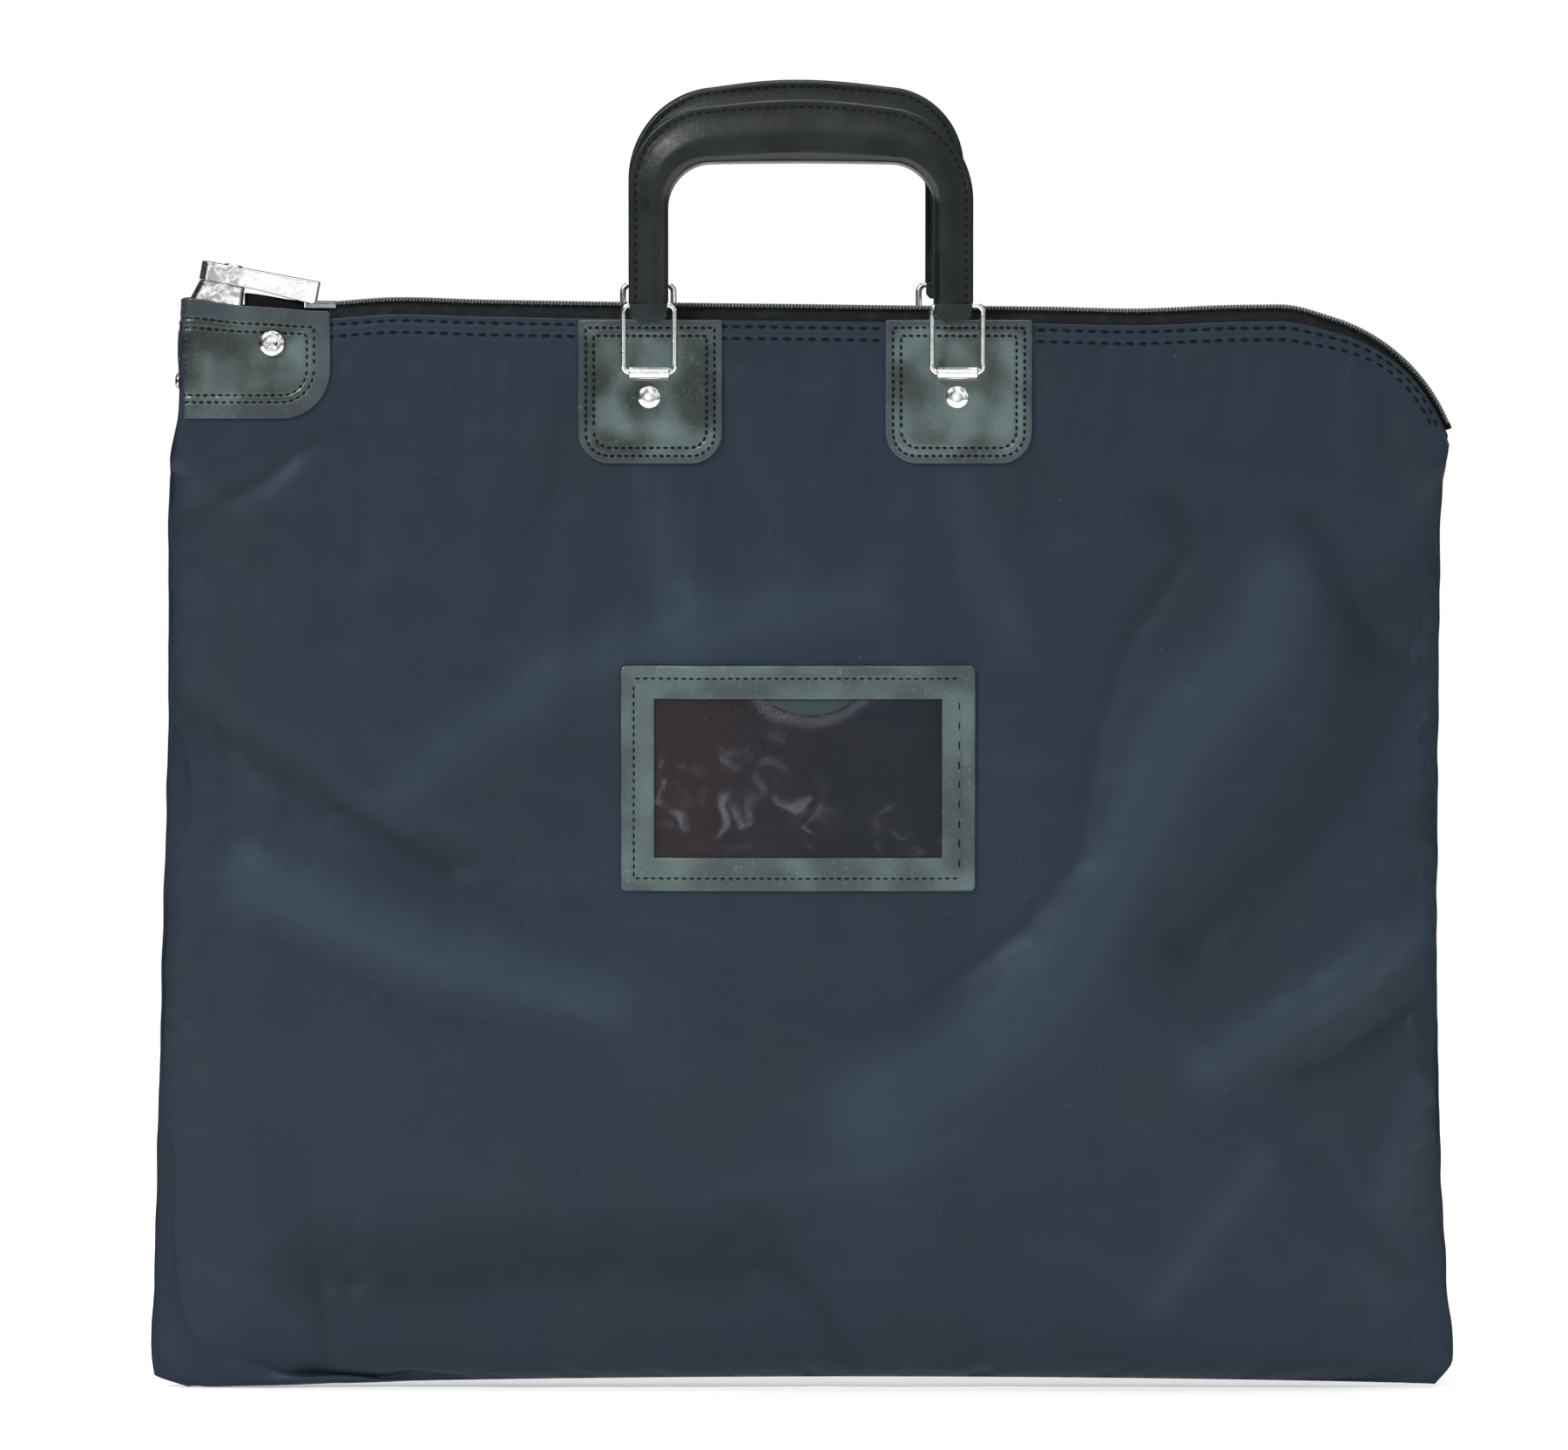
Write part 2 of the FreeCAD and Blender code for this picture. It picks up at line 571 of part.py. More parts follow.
def make_ring(side, where, sign):
    """Closed wire ring. Its frame stands on the lower bar and leans away from the bag."""
    label = f"ring_{side}_{where}"
    body = new_body(label + "_body")
    loop = new_sketch(body, "XZ_Plane", label + "_path")
    rounded_loop(loop, "dims.ring_half_width", "0", "dims.ring_length", "dims.ring_corner")
    section = new_sketch(body, "YZ_Plane", label + "_section")
    circle(section, "0", "0", "dims.wire")
    doc.recompute()
    sweep = body.newObject("PartDesign::AdditivePipe", label + "_sweep")
    sweep.Profile = section
    sweep.Spine = loop
    doc.recompute()
    turn = facing(side).multiply(Rotation(Vector(1, 0, 0), d("ring_lean")))
    out = "-(dims.top_half_depth + dims.clip_out)" if side == FRONT else "dims.top_half_depth + dims.clip_out"
    place(body, mount_x(side, sign), out, f"dims.clip_height + {lift(side)}", turn)
    keep(body, label)


def make_tab_rivet(side, where, sign):
    """Domed rivet through tab, leaf, panel and washer, turned about its own axis."""
    label = f"rivet_{side}_{where}"
    body = new_body(label + "_body")
    profile = new_sketch(body, "YZ_Plane", label + "_profile")
    face = "dims.gap + dims.tab_thick"
    polygon(profile, [("2.0", "0"), (f"-({face}) - 1.5", "0"), (f"-({face}) - 1.4", "dims.rivet_head * 0.6"),
                      (f"-({face}) - 0.9", "dims.rivet_head * 0.9"), (f"-({face}) - 0.4", "dims.rivet_head"),
                      (f"-({face})", "dims.rivet_head"), (f"-({face})", "dims.rivet_shank"),
                      ("1.7", "dims.rivet_shank"), ("1.7", "dims.rivet_shank + 0.6"),
                      ("2.0", "dims.rivet_shank + 0.6")])
    revolve(body, profile, label + "_turned", "H_Axis")
    height = f"dims.clip_height + {lift(side)} - dims.rivet_drop"
    place(body, mount_x(side, sign), surface_y(side), height, facing(side))
    keep(body, label)
    washer = rod(f"washer_{side}_{where}_disc", "5.5", "0.8",
                 (mount_x(side, sign), surface_y(side) + (" + 1.7" if side == FRONT else " - 1.7"), height),
                 OUT if side == FRONT else -OUT)
    hole = rod(f"washer_{side}_{where}_hole", "dims.rivet_shank + 0.05", "6",
               (mount_x(side, sign), surface_y(side) + (" + 4" if side == FRONT else " - 4"), height),
               OUT if side == FRONT else -OUT)
    keep(cut(f"washer_{side}_{where}_cut", washer, hole), f"rivet_washer_{side}_{where}")


# ---------------------------------------------------------------------------------------------------------
# Handles: a stiff core, a sewn vinyl cover round it, and two end caps
# ---------------------------------------------------------------------------------------------------------


def arch(body, name, half_outer, half_inner, top, inside, end, thick, outer_r, inner_r):
    """Upturned U of constant thickness. Heights are above the rings' upper bars."""
    outline = new_sketch(body, "XZ_Plane", name + "_outline")
    shoulder, peak = f"{top} - dims.handle_crown", f"{top} + 0.7"
    polygon(outline, [(f"-({half_outer})", end), (f"-({half_inner})", end), (f"-({half_inner})", inside),
                      (half_inner, inside), (half_inner, end), (half_outer, end), (half_outer, shoulder),
                      ("0", peak), (f"-({half_outer})", shoulder)])
    pad(body, outline, name + "_pad", thick, midplane=True)
    for label, height, radius in (("crown", peak, "dims.crown_radius"), ("outer", shoulder, outer_r),
                                  ("inner", inside, inner_r)):
        level = value_of(height)
        names = edges_where(body.Tip.Shape, lambda p, e: across(e) and abs(p.z - level) < 0.01)
        dress(body, "Fillet", f"{name}_{label}_corners", names, Radius=radius)


def rim(body, name, half, radius, outer):
    """Rounds the long edges of an arch on both faces: the outer ones, or the ones round the hand."""
    limit, top = value_of(half), d("handle_inside") + 6

    def on_rim(p, edge):
        if abs(abs(p.y) - d("handle_thick") / 2) > 0.01 or p.z < 1:
            return False
        inside = abs(p.x) < limit and p.z < top
        return inside != outer

    names = edges_where(body.Tip.Shape, on_rim)
    dress(body, "Fillet", name, names, Radius=radius)


def thin_legs(body, name):
    """Takes the legs down from the grip's thickness to the leg's, on both faces."""
    for sign in (-1, 1):
        profile = new_sketch(body, "YZ_Plane", f"{name}_{'front' if sign < 0 else 'back'}")
        leg, far = f"{sign} * dims.leg_thick / 2", f"{sign} * (dims.handle_thick / 2 + 3)"
        full = f"{sign} * (dims.handle_thick / 2 + 0.05)"
        polygon(profile, [(leg, "-8"), (leg, "12"), (full, "34"), (far, "34"), (far, "-8")])
        pocket(body, profile, f"{name}_taper_{'front' if sign < 0 else 'back'}")


def make_handle(side):
    label = f"handle_{side}"
    outer, inner = "(dims.tab_x + dims.leg_half_width)", "(dims.tab_x - dims.leg_half_width)"
    blank = new_body(label + "_blank")
    arch(blank, label + "_blank", outer, inner, "dims.handle_top", "dims.handle_inside", "dims.leg_end",
         "dims.handle_thick", "dims.handle_corner", "dims.handle_inner_corner")
    rim(blank, label + "_hand_rim", "dims.tab_x", "3.6", outer=False)
    rim(blank, label + "_outer_rim", "dims.tab_x", "1.6", outer=True)
    thin_legs(blank, label + "_legs")

    margin = "dims.core_margin"
    core_blank = new_body(label + "_core_blank")
    arch(core_blank, label + "_core_blank", f"{outer} - {margin}", f"{inner} + {margin}",
         f"dims.handle_top - {margin} - 2", f"dims.handle_inside + {margin}", "dims.leg_end - 1.5",
         "dims.core_thick", "dims.handle_corner - dims.core_margin", "dims.handle_inner_corner + 2")

    bore_run = ("-dims.tab_x - 20", "0", "0")
    bore = rod(label + "_bore", "dims.wire + dims.fit", "2 * dims.tab_x + 40", bore_run, Vector(1, 0, 0))
    sides = []
    for where, sign in MOUNTS:
        for edge, turn in (("outer", sign), ("inner", -sign)):
            start = f"{sign} * dims.tab_x + {turn} * dims.cap_half_width"
            low = start if turn > 0 else f"{start} - 3"
            sides.append(box(f"{label}_{where}_{edge}_relief", (low, "-6", "-3"), ("3", "12", "6.5")))
    cover = cut(label + "_cover_cut", blank, core_blank, bore, *sides)

    caps = []
    for where, sign in MOUNTS:
        low = (f"{sign} * dims.tab_x - dims.cap_half_width", "-dims.leg_thick / 2", "dims.cap_end")
        size = ("2 * dims.cap_half_width", "dims.leg_thick", "dims.leg_end - dims.cap_end - 0.02")
        cap = doc.addObject("Part::Fillet", f"{label}_{where}_cap_round")
        cap.Base = box(f"{label}_{where}_cap_block", low, size)
        doc.recompute()
        lowest = d("cap_end") + 0.1
        faces = edges_where(cap.Base.Shape, lambda p, e: p.z < lowest)
        cap.Edges = [(int(n[4:]), 1.2, 1.2) for n in faces]
        caps.append(cap)
    left_cap, right_cap = (cut(c.Name + "_cut", c, core_blank) for c in caps)
    core = cut(label + "_core_cut", core_blank, bore)

    lean = math.radians(d("ring_lean"))
    sign = -1 if side == FRONT else 1
    y = f"{sign} * (dims.top_half_depth + dims.clip_out + dims.ring_length * {math.sin(lean):.6f})"
    z = f"dims.clip_height + {lift(side)} + dims.ring_length * {math.cos(lean):.6f}"
    x = "0" if side == FRONT else "dims.rear_shift"
    if side == REAR:  # this handle is turned round, so its left cap stands on the bag's right
        left_cap, right_cap = right_cap, left_cap
    for piece, name in ((cover, "cover"), (core, "core"), (left_cap, "end_cap_left"),
                        (right_cap, "end_cap_right")):
        place(piece, x, y, z, facing(side))
        keep(piece, f"{label}_{name}")


# ---------------------------------------------------------------------------------------------------------
# Card window: backing, clear pane and border, sewn on the front panel
# ---------------------------------------------------------------------------------------------------------


def rectangle(x, z, width, height):
    corners = [(x - width / 2, z - height / 2), (x + width / 2, z - height / 2),
               (x + width / 2, z + height / 2), (x - width / 2, z + height / 2)]
    return Part.makePolygon([at(*c) for c in corners + corners[:1]])


def make_window():
    x, z, gap = d("window_x"), d("window_z"), d("gap")
    width, height, border = d("window_width"), d("window_height"), d("window_border")
    inner = rectangle(x, z, width - 2 * border, height - 2 * border)
    keep(draped("window_backing_sheet", rectangle(x, z, width - 4, height - 4), gap, gap + 0.4, FRONT),
         "window_backing")
    keep(draped("window_pane_sheet", rectangle(x, z, width - 6, height - 6), gap + 1.0, gap + 1.3, FRONT),
         "window_pane")
    whole = draped("window_border_sheet", rectangle(x, z, width, height), gap + 1.35, gap + 2.25, FRONT)
    hole = doc.addObject("Part::Feature", "window_hole")
    hole.Shape = Part.Face(inner).extrude(Vector(0, -40, 0))
    keep(cut("window_border_cut", whole, hole), "window_frame")


# ---------------------------------------------------------------------------------------------------------
# Lock: patch, housing and rivets on the bag; arm, barrel and key plug on the zipper slider
# ---------------------------------------------------------------------------------------------------------

TILT = Rotation(Vector(0, 1, 0), d("lock_tilt"))


def on_arm(obj):
    """Stands a piece made in the arm's own frame (origin at the pivot, X along the arm) in its place."""
    return place(obj, "dims.pivot_x", "0", "dims.pivot_z", TILT)


def make_patch():
    """Vinyl patch wrapped round the lock's end of the bag, from the front face to the rear."""
    body = new_body("corner_patch_body")
    out = "(dims.top_half_depth + dims.gap + dims.patch_thick)"
    left, right = "-dims.lock_end_x - 1.6", "dims.patch_right"
    outline = new_sketch(body, "XZ_Plane", "corner_patch_outline")
    polygon(outline, [(left, "dims.patch_bottom"), (right, "dims.patch_bottom"),
                      (right, "dims.patch_step - 1.4"), ("dims.housing_right - 2", "dims.patch_step"),
                      (left, "dims.patch_top")])
    pad(body, outline, "corner_patch_pad", f"2 * {out}", midplane=True)
    low, edge = d("patch_bottom"), d("patch_right")
    names = edges_where(body.Tip.Shape,
                        lambda p, e: across(e) and abs(p.z - low) < 0.1 and abs(p.x - edge) < 0.1)
    dress(body, "Fillet", "corner_patch_corner", names, Radius="dims.patch_corner")
    inside = new_sketch(body, "XY_Plane", "corner_patch_inside")
    gap = "(dims.top_half_depth + dims.gap)"
    wall = "-dims.lock_end_x - 0.4"
    polygon(inside, [(wall, f"-{gap}"), ("dims.patch_right + 5", f"-{gap}"), ("dims.patch_right + 5", gap),
                     (wall, gap)])
    pocket(body, inside, "corner_patch_hollow")
    across_hole = new_sketch(body, "XZ_Plane", "corner_patch_rivet_hole")
    circle(across_hole, "dims.lock_rivet_x", "dims.lock_rivet_z", "dims.rivet_shank + 0.1")
    pocket(body, across_hole, "corner_patch_rivet_bore")
    end_hole = new_sketch(body, "YZ_Plane", "corner_patch_end_hole")
    circle(end_hole, "0", "dims.end_rivet_z", "1.6")
    pocket(body, end_hole, "corner_patch_end_bore")
    keep(body, "corner_patch")


def tilted_box(name, low, size):
    """Box given in the arm's frame: origin at the pivot, X along the arm."""
    x, y, z = low
    cos, sin = (f"{f(math.radians(d('lock_tilt'))):.6f}" for f in (math.cos, math.sin))
    corner = (f"dims.pivot_x + ({x}) * {cos} + ({z}) * {sin}", y,
              f"dims.pivot_z - ({x}) * {sin} + ({z}) * {cos}")
    return box(name, corner, size, TILT)


def make_housing():
    """Lock housing: a block inside the patch, a tilted head above it with the bolt's slot, and a lug."""
    wide = "2 * dims.housing_half_width"
    head = tilted_box("housing_head", ("-dims.head_far", "-dims.housing_half_width", "-14"),
                      ("dims.head_far - dims.head_near", wide, "14 + dims.head_top"))
    slot = tilted_box("housing_slot", ("-dims.barrel_u - 5.2", "-dims.bolt_half_width - 0.25", "-12.5"),
                      ("30", "2 * dims.bolt_half_width + 0.5", "14"))
    reach = "(dims.bolt_half_length + 0.45)"
    cavity = tilted_box("housing_cavity", (f"-dims.barrel_u - {reach}", f"-{reach}", "-12"),
                        (f"2 * {reach}", f"2 * {reach}", "6.6"))
    block = box("housing_block", ("dims.housing_left", "-dims.housing_half_width", "dims.housing_bottom"),
                ("dims.housing_right - dims.housing_left", wide, "421 - dims.housing_bottom"))
    lug = box("housing_lug", ("dims.housing_right - 1", "-3", "400"), ("17", "6", "13"))
    bore = rod("housing_rivet_bore", "dims.rivet_shank + 0.1", "20",
               ("dims.lock_rivet_x", "10", "dims.lock_rivet_z"), OUT)
    solid = fuse("housing_solid", head, block, lug)
    keep(cut("housing_cut", solid, slot, cavity, bore), "lock_housing")


def make_lock_rivets():
    body = new_body("lock_rivet_body")
    face = "dims.top_half_depth + dims.gap + dims.patch_thick"
    profile = new_sketch(body, "YZ_Plane", "lock_rivet_profile")
    shank, head = "dims.rivet_shank", "dims.lock_rivet_head"
    polygon(profile, [(f"-({face}) - 0.7", "0"), (f"-({face}) - 0.9", "0.9"), (f"-({face}) - 1.9", "1.5"),
                      (f"-({face}) - 1.8", f"{head} * 0.6"), (f"-({face}) - 0.9", f"{head} * 0.93"),
                      (f"-({face})", head), (f"-({face})", shank), (f"{face}", shank),
                      (f"{face}", head), (f"{face} + 0.9", f"{head} * 0.93"), (f"{face} + 1.7", f"{head} * 0.6"),
                      (f"{face} + 1.8", "0")])
    revolve(body, profile, "lock_rivet_turned", "H_Axis")
    place(body, "dims.lock_rivet_x", "0", "dims.lock_rivet_z")
    keep(body, "lock_rivet")

    head = rod("end_rivet_head", "3.3", "1.3", ("-dims.lock_end_x - 1.6", "0", "dims.end_rivet_z"),
               Vector(-1, 0, 0))
    shank = rod("end_rivet_shank", "1.5", "4.5", ("-dims.lock_end_x - 1.7", "0", "dims.end_rivet_z"),
                Vector(1, 0, 0))
    tail = rod("end_rivet_tail", "3.3", "1.0", ("-dims.lock_end_x + 2.7", "0", "dims.end_rivet_z"),
               Vector(1, 0, 0))
    keep(fuse("end_rivet_solid", head, shank, tail), "end_rivet")


def make_slider():
    """Zipper slider: upper and lower plates joined by the divider, with a lug for the lock's arm."""
    left, length = "dims.pivot_x - 2.5", "12"
    upper = box("slider_upper", (left, "-3.9", "dims.chain_height + 1.4"), (length, "7.8", "1.0"))
    lower = box("slider_lower", (left, "-2.0", "dims.chain_height - 3.3"), (length, "4.0", "1.0"))
    divider = box("slider_divider", (left, "-1.2", "dims.chain_height - 3.3"), ("3", "2.4", "5.5"))
    flanges = [box(f"slider_flange_{n}", (left, y, "dims.chain_height - 0.4"), (length, "0.8", "2.4"))
               for n, y in (("front", "-3.9"), ("rear", "3.1"))]
    lug = box("slider_lug", ("dims.pivot_x - 1.6", "-3.5", "dims.chain_height + 2"),
              ("3.2", "7", "dims.pivot_z + 1.5 - dims.chain_height - 2"))
    bore = rod("slider_bore", "dims.arm_pin", "10", ("dims.pivot_x", "5", "dims.pivot_z"), OUT)
    solid = fuse("slider_solid", upper, lower, divider, lug, *flanges)
    keep(cut("slider_cut", solid, bore), "zipper_slider")
    pin = rod("arm_pin_rod", "dims.arm_pin", "2 * dims.arm_half_width - 0.4",
              ("dims.pivot_x", "dims.arm_half_width - 0.2", "dims.pivot_z"), OUT)
    keep(pin, "arm_pin")


def make_arm():
    """Lock arm: a bar on the slider's pin, bored through its far end for the pop-up barrel. Its near end is
    hollow, so that two cheeks straddle the slider."""
    body = new_body("lock_arm_body")
    side = new_sketch(body, "XZ_Plane", "lock_arm_side")
    top, bottom, skirt = "dims.arm_top", "dims.arm_bottom", "dims.arm_skirt"
    polygon(side, [("-dims.arm_length", bottom), ("-22", bottom), ("0.9", skirt), ("2.0", f"{skirt} + 1"),
                   ("2.0", top), ("-dims.arm_length", top)])
    pad(body, side, "lock_arm_bar", "2 * dims.arm_half_width", midplane=True)
    far = -d("arm_length")
    upright = edges_where(body.Tip.Shape, lambda p, e: abs(p.x - far) < 0.01 and not across(e))
    dress(body, "Chamfer", "lock_arm_nose", upright, Size="2.2")
    high = d("arm_top")
    upper = edges_where(body.Tip.Shape, lambda p, e: abs(p.z - high) < 0.01)
    dress(body, "Fillet", "lock_arm_top_edges", upper, Radius="0.6")
    slot = new_sketch(body, "XY_Plane", "lock_arm_slot_outline", f"{skirt} - 1")
    polygon(slot, [("-10", "-4.1"), ("4", "-4.1"), ("4", "4.1"), ("-10", "4.1")])
    pocket(body, slot, "lock_arm_slot", f"4.4 - ({skirt}) + 1", reverse=True)
    hole = new_sketch(body, "XZ_Plane", "lock_arm_pin_outline")
    circle(hole, "0", "0", "dims.arm_pin + dims.fit")
    pocket(body, hole, "lock_arm_pin_bore")
    well = new_sketch(body, "XY_Plane", "lock_arm_well_outline", top)
    circle(well, "-dims.barrel_u", "0", "dims.barrel + dims.fit")
    pocket(body, well, "lock_arm_well", f"{top} + 0.8")
    throat = new_sketch(body, "XY_Plane", "lock_arm_throat_outline")
    circle(throat, "-dims.barrel_u", "0", "dims.barrel_neck + dims.fit")
    pocket(body, throat, "lock_arm_throat")
    on_arm(body)
    keep(body, "lock_arm")


def turned(label, profile):
    """Piece turned about the barrel's axis, in the arm's frame. The profile is (radius, height) pairs."""
    body = new_body(label + "_body")
    outline = new_sketch(body, "XZ_Plane", label + "_profile")
    polygon(outline, profile)
    revolve(body, outline, label + "_turned", "V_Axis")
    return body


def on_barrel_axis(obj):
    """Stands a piece made about its own Z axis on the barrel's axis."""
    tilt = math.radians(d("lock_tilt"))
    return place(obj, f"dims.pivot_x - dims.barrel_u * {math.cos(tilt):.6f}", "0",
                 f"dims.pivot_z + dims.barrel_u * {math.sin(tilt):.6f}", TILT)


def make_barrel():
    proud = "dims.arm_top + dims.barrel_proud"
    barrel = turned("lock_barrel", [
        ("dims.plug + dims.fit", "-1.6"), ("dims.barrel_neck", "-1.6"), ("dims.barrel_neck", "3.3"),
        ("dims.barrel", "3.3"), ("dims.barrel", f"{proud} - 0.5"), ("dims.barrel - 0.5", proud),
        ("dims.plug + dims.fit", proud)])
    keep(on_barrel_axis(barrel), "lock_barrel")

    plug = turned("key_plug", [
        ("0", "-dims.bolt_depth"), ("1.5", "-dims.bolt_depth"), ("1.5", "-1.9"),
        ("dims.plug", "-1.7"), ("dims.plug", f"{proud} - 0.1"), ("0", f"{proud} - 0.1")])
    plug_bolt = new_sketch(plug, "XY_Plane", "key_plug_bolt_outline", "-dims.bolt_depth")
    half, wide = "dims.bolt_half_length", "dims.bolt_half_width"
    polygon(plug_bolt, [(f"-{half}", f"-{wide}"), (half, f"-{wide}"), (half, wide), (f"-{half}", wide)])
    pad(plug, plug_bolt, "key_plug_bolt", "dims.bolt_thick")
    keyway = new_sketch(plug, "XY_Plane", "key_plug_keyway_outline", f"{proud} - 0.1")
    polygon(keyway, [("-1.3", "-0.35"), ("1.3", "-0.35"), ("1.3", "0.35"), ("-1.3", "0.35")])
    pocket(plug, keyway, "key_plug_keyway", "5")
    keep(on_barrel_axis(plug), "key_plug")

    pitch, turns, wire, radius = 1.1, 3.0, 0.2, 3.2
    foot = -0.8 + wire + 0.02
    helix = Part.makeHelix(pitch, pitch * turns, radius)
    helix.translate(Vector(0, 0, foot))
    section = Part.Wire(Part.Circle(Vector(radius, 0, foot), Vector(0, 1, 0), wire).toShape())
    spring = doc.addObject("Part::Feature", "lock_spring_coil")
    spring.Shape = Part.Wire(helix).makePipeShell([section], True, True)
    keep(on_barrel_axis(spring), "lock_spring")


# ---------------------------------------------------------------------------------------------------------
# Build, check and write
# ---------------------------------------------------------------------------------------------------------

for face in (FRONT, REAR):
    make_panel(face)
    for position, direction in MOUNTS:
        make_tab(face, position, direction)
        make_clip(face, position, direction)
        make_ring(face, position, direction)
        make_tab_rivet(face, position, direction)
    make_handle(face)
make_zipper()
make_window()
make_patch()
make_housing()
make_lock_rivets()
make_slider()
make_arm()
make_barrel()
doc.recompute()

broken = [o.Name for o in doc.Objects if "Invalid" in o.State or "Error" in o.State]
if broken:
    raise RuntimeError(f"these objects did not recompute: {broken}")
for part in kept:
    if part.Shape.isNull() or not part.Shape.isValid() or not part.Shape.Solids:
        raise RuntimeError(f"{part.Label} has no valid solid")

os.makedirs("parts", exist_ok=True)
for old in os.listdir("parts"):
    os.remove(os.path.join("parts", old))
for part in kept:
    part.Shape.exportStep(os.path.join("parts", part.Label + ".step"))
print(len(kept), "sub-parts written")
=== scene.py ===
"""Looks of the locking cash deposit bag. Lengths are in millimetres until a mesh is made, then metres."""

import bpy
import bmesh
import math
import numpy as np
from mathutils import Matrix, Vector, noise
from mathutils.bvhtree import BVHTree


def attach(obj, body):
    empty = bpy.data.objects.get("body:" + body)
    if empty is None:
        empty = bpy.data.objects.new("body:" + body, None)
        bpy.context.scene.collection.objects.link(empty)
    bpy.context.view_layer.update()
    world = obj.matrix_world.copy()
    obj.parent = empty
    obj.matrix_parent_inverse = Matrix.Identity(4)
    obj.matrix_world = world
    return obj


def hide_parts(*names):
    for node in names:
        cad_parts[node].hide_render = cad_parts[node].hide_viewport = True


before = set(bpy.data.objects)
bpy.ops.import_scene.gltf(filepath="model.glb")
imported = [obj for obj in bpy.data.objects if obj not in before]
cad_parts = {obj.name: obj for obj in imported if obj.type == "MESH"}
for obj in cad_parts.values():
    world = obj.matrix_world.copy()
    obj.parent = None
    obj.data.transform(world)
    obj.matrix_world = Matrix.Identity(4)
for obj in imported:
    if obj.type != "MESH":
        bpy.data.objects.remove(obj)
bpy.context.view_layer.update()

MM = 0.001
SIDES = (("front", -1), ("rear", 1))
MOUNTS = (("left", -1), ("right", 1))


# ---- Small mathematics ----


def ease(t):
    """Smooth step from 0 to 1."""
    t = np.clip(t, 0.0, 1.0)
    return t * t * (3 - 2 * t)


def rise(distance, margin):
    """Quarter sine from 0 at an edge to 1 at the margin."""
    return np.sin(np.pi / 2 * np.clip(distance / margin, 0.0, 1.0))


def bell(t, width):
    """Bump of height 1 about 0."""
    return np.exp(-((t / width) ** 2))


def smooth_curve(position, knots):
    """Smooth curve through (position, value) pairs, for one position or an array of them."""
    xs, ys = np.array(knots, dtype=float).T
    slopes = np.gradient(ys, xs)
    x = np.clip(position, xs[0], xs[-1])
    i = np.clip(np.searchsorted(xs, x, side="right") - 1, 0, len(xs) - 2)
    span = xs[i + 1] - xs[i]
    t = (x - xs[i]) / span
    a, b = ys[i], ys[i + 1]
    return ((1 + 2 * t) * (1 - t) ** 2 * a + t * (1 - t) ** 2 * span * slopes[i]
            + t * t * (3 - 2 * t) * b + t * t * (t - 1) * span * slopes[i + 1])


def wander(points, scale, seed):
    """Soft noise from -1 to 1 at each point, with features about one scale across."""
    offset = Vector((seed * 17.3, seed * 5.1, seed * 11.7))
    return np.array([noise.noise(Vector(p) / scale + offset) for p in points])


# ---- Meshes ----


def piece(name, points, faces, material, body, slot):
    """Mesh object from points in millimetres, riding on a body and taking a material. The slot is not used."""
    mesh = bpy.data.meshes.new(name)
    mesh.from_pydata([tuple(float(c) * MM for c in p) for p in points], [], faces)
    mesh.validate()
    mesh.shade_smooth()
    obj = bpy.data.objects.new(name, mesh)
    bpy.context.scene.collection.objects.link(obj)
    mesh.materials.append(material)
    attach(obj, body)
    return obj


def with_values(obj, name, values):
    """Stores a value at each point of a mesh, for its material to read."""
    obj.data.attributes.new(name, "FLOAT", "POINT").data.foreach_set("value", values)


def grid_faces(rows, columns, wrap=False, flip=False):
    """Quads over a grid of points stored row by row. With wrap, each row closes on itself."""
    faces = []
    for r in range(rows - 1):
        for c in range(columns if wrap else columns - 1):
            d = (c + 1) % columns
            quad = (r * columns + c, r * columns + d, (r + 1) * columns + d, (r + 1) * columns + c)
            faces.append(quad[::-1] if flip else quad)
    return faces


def capped(faces, rows, columns):
    """Closes the two ends of a tube of rows."""
    return faces + [tuple(range(columns))[::-1], tuple((rows - 1) * columns + c for c in range(columns))]


def sweep(path, section, closed=False, up=Vector((0, 1, 0))):
    """Points and faces of a section carried along a path. A section point is (side, up) across the path."""
    count = len(path)
    points = []
    for i, p in enumerate(path):
        ahead = path[(i + 1) % count] if closed or i + 1 < count else p
        behind = path[i - 1] if closed or i > 0 else p
        along = (Vector(ahead) - Vector(behind)).normalized()
        across = along.cross(up).normalized()
        lift = across.cross(along)
        points += [Vector(p) + across * a + lift * b for a, b in section]
    faces = grid_faces(count, len(section), wrap=True)
    n = len(section)
    if closed:
        last = (count - 1) * n
        faces += [(last + c, last + (c + 1) % n, (c + 1) % n, c) for c in range(n)]
    else:
        faces = capped(faces, count, n)
    return points, faces


def ring_section(radius, sides):
    """Round section of a wire or thread."""
    return [(radius * math.cos(2 * math.pi * i / sides), radius * math.sin(2 * math.pi * i / sides))
            for i in range(sides)]


def lathe(profile, sides):
    """Turned shape about Z from (radius, height) pairs that start and end on the axis."""
    points = [Vector((0, 0, profile[0][1])), Vector((0, 0, profile[-1][1]))]
    inner = profile[1:-1]
    for r, h in inner:
        for i in range(sides):
            a = 2 * math.pi * i / sides
            points.append(Vector((r * math.cos(a), r * math.sin(a), h)))
    faces = [tuple(v + 2 for v in f) for f in grid_faces(len(inner), sides, wrap=True)]
    for i in range(sides):
        j = (i + 1) % sides
        faces.append((0, 2 + j, 2 + i))
        base = 2 + (len(inner) - 1) * sides
        faces.append((1, base + i, base + j))
    return points, faces


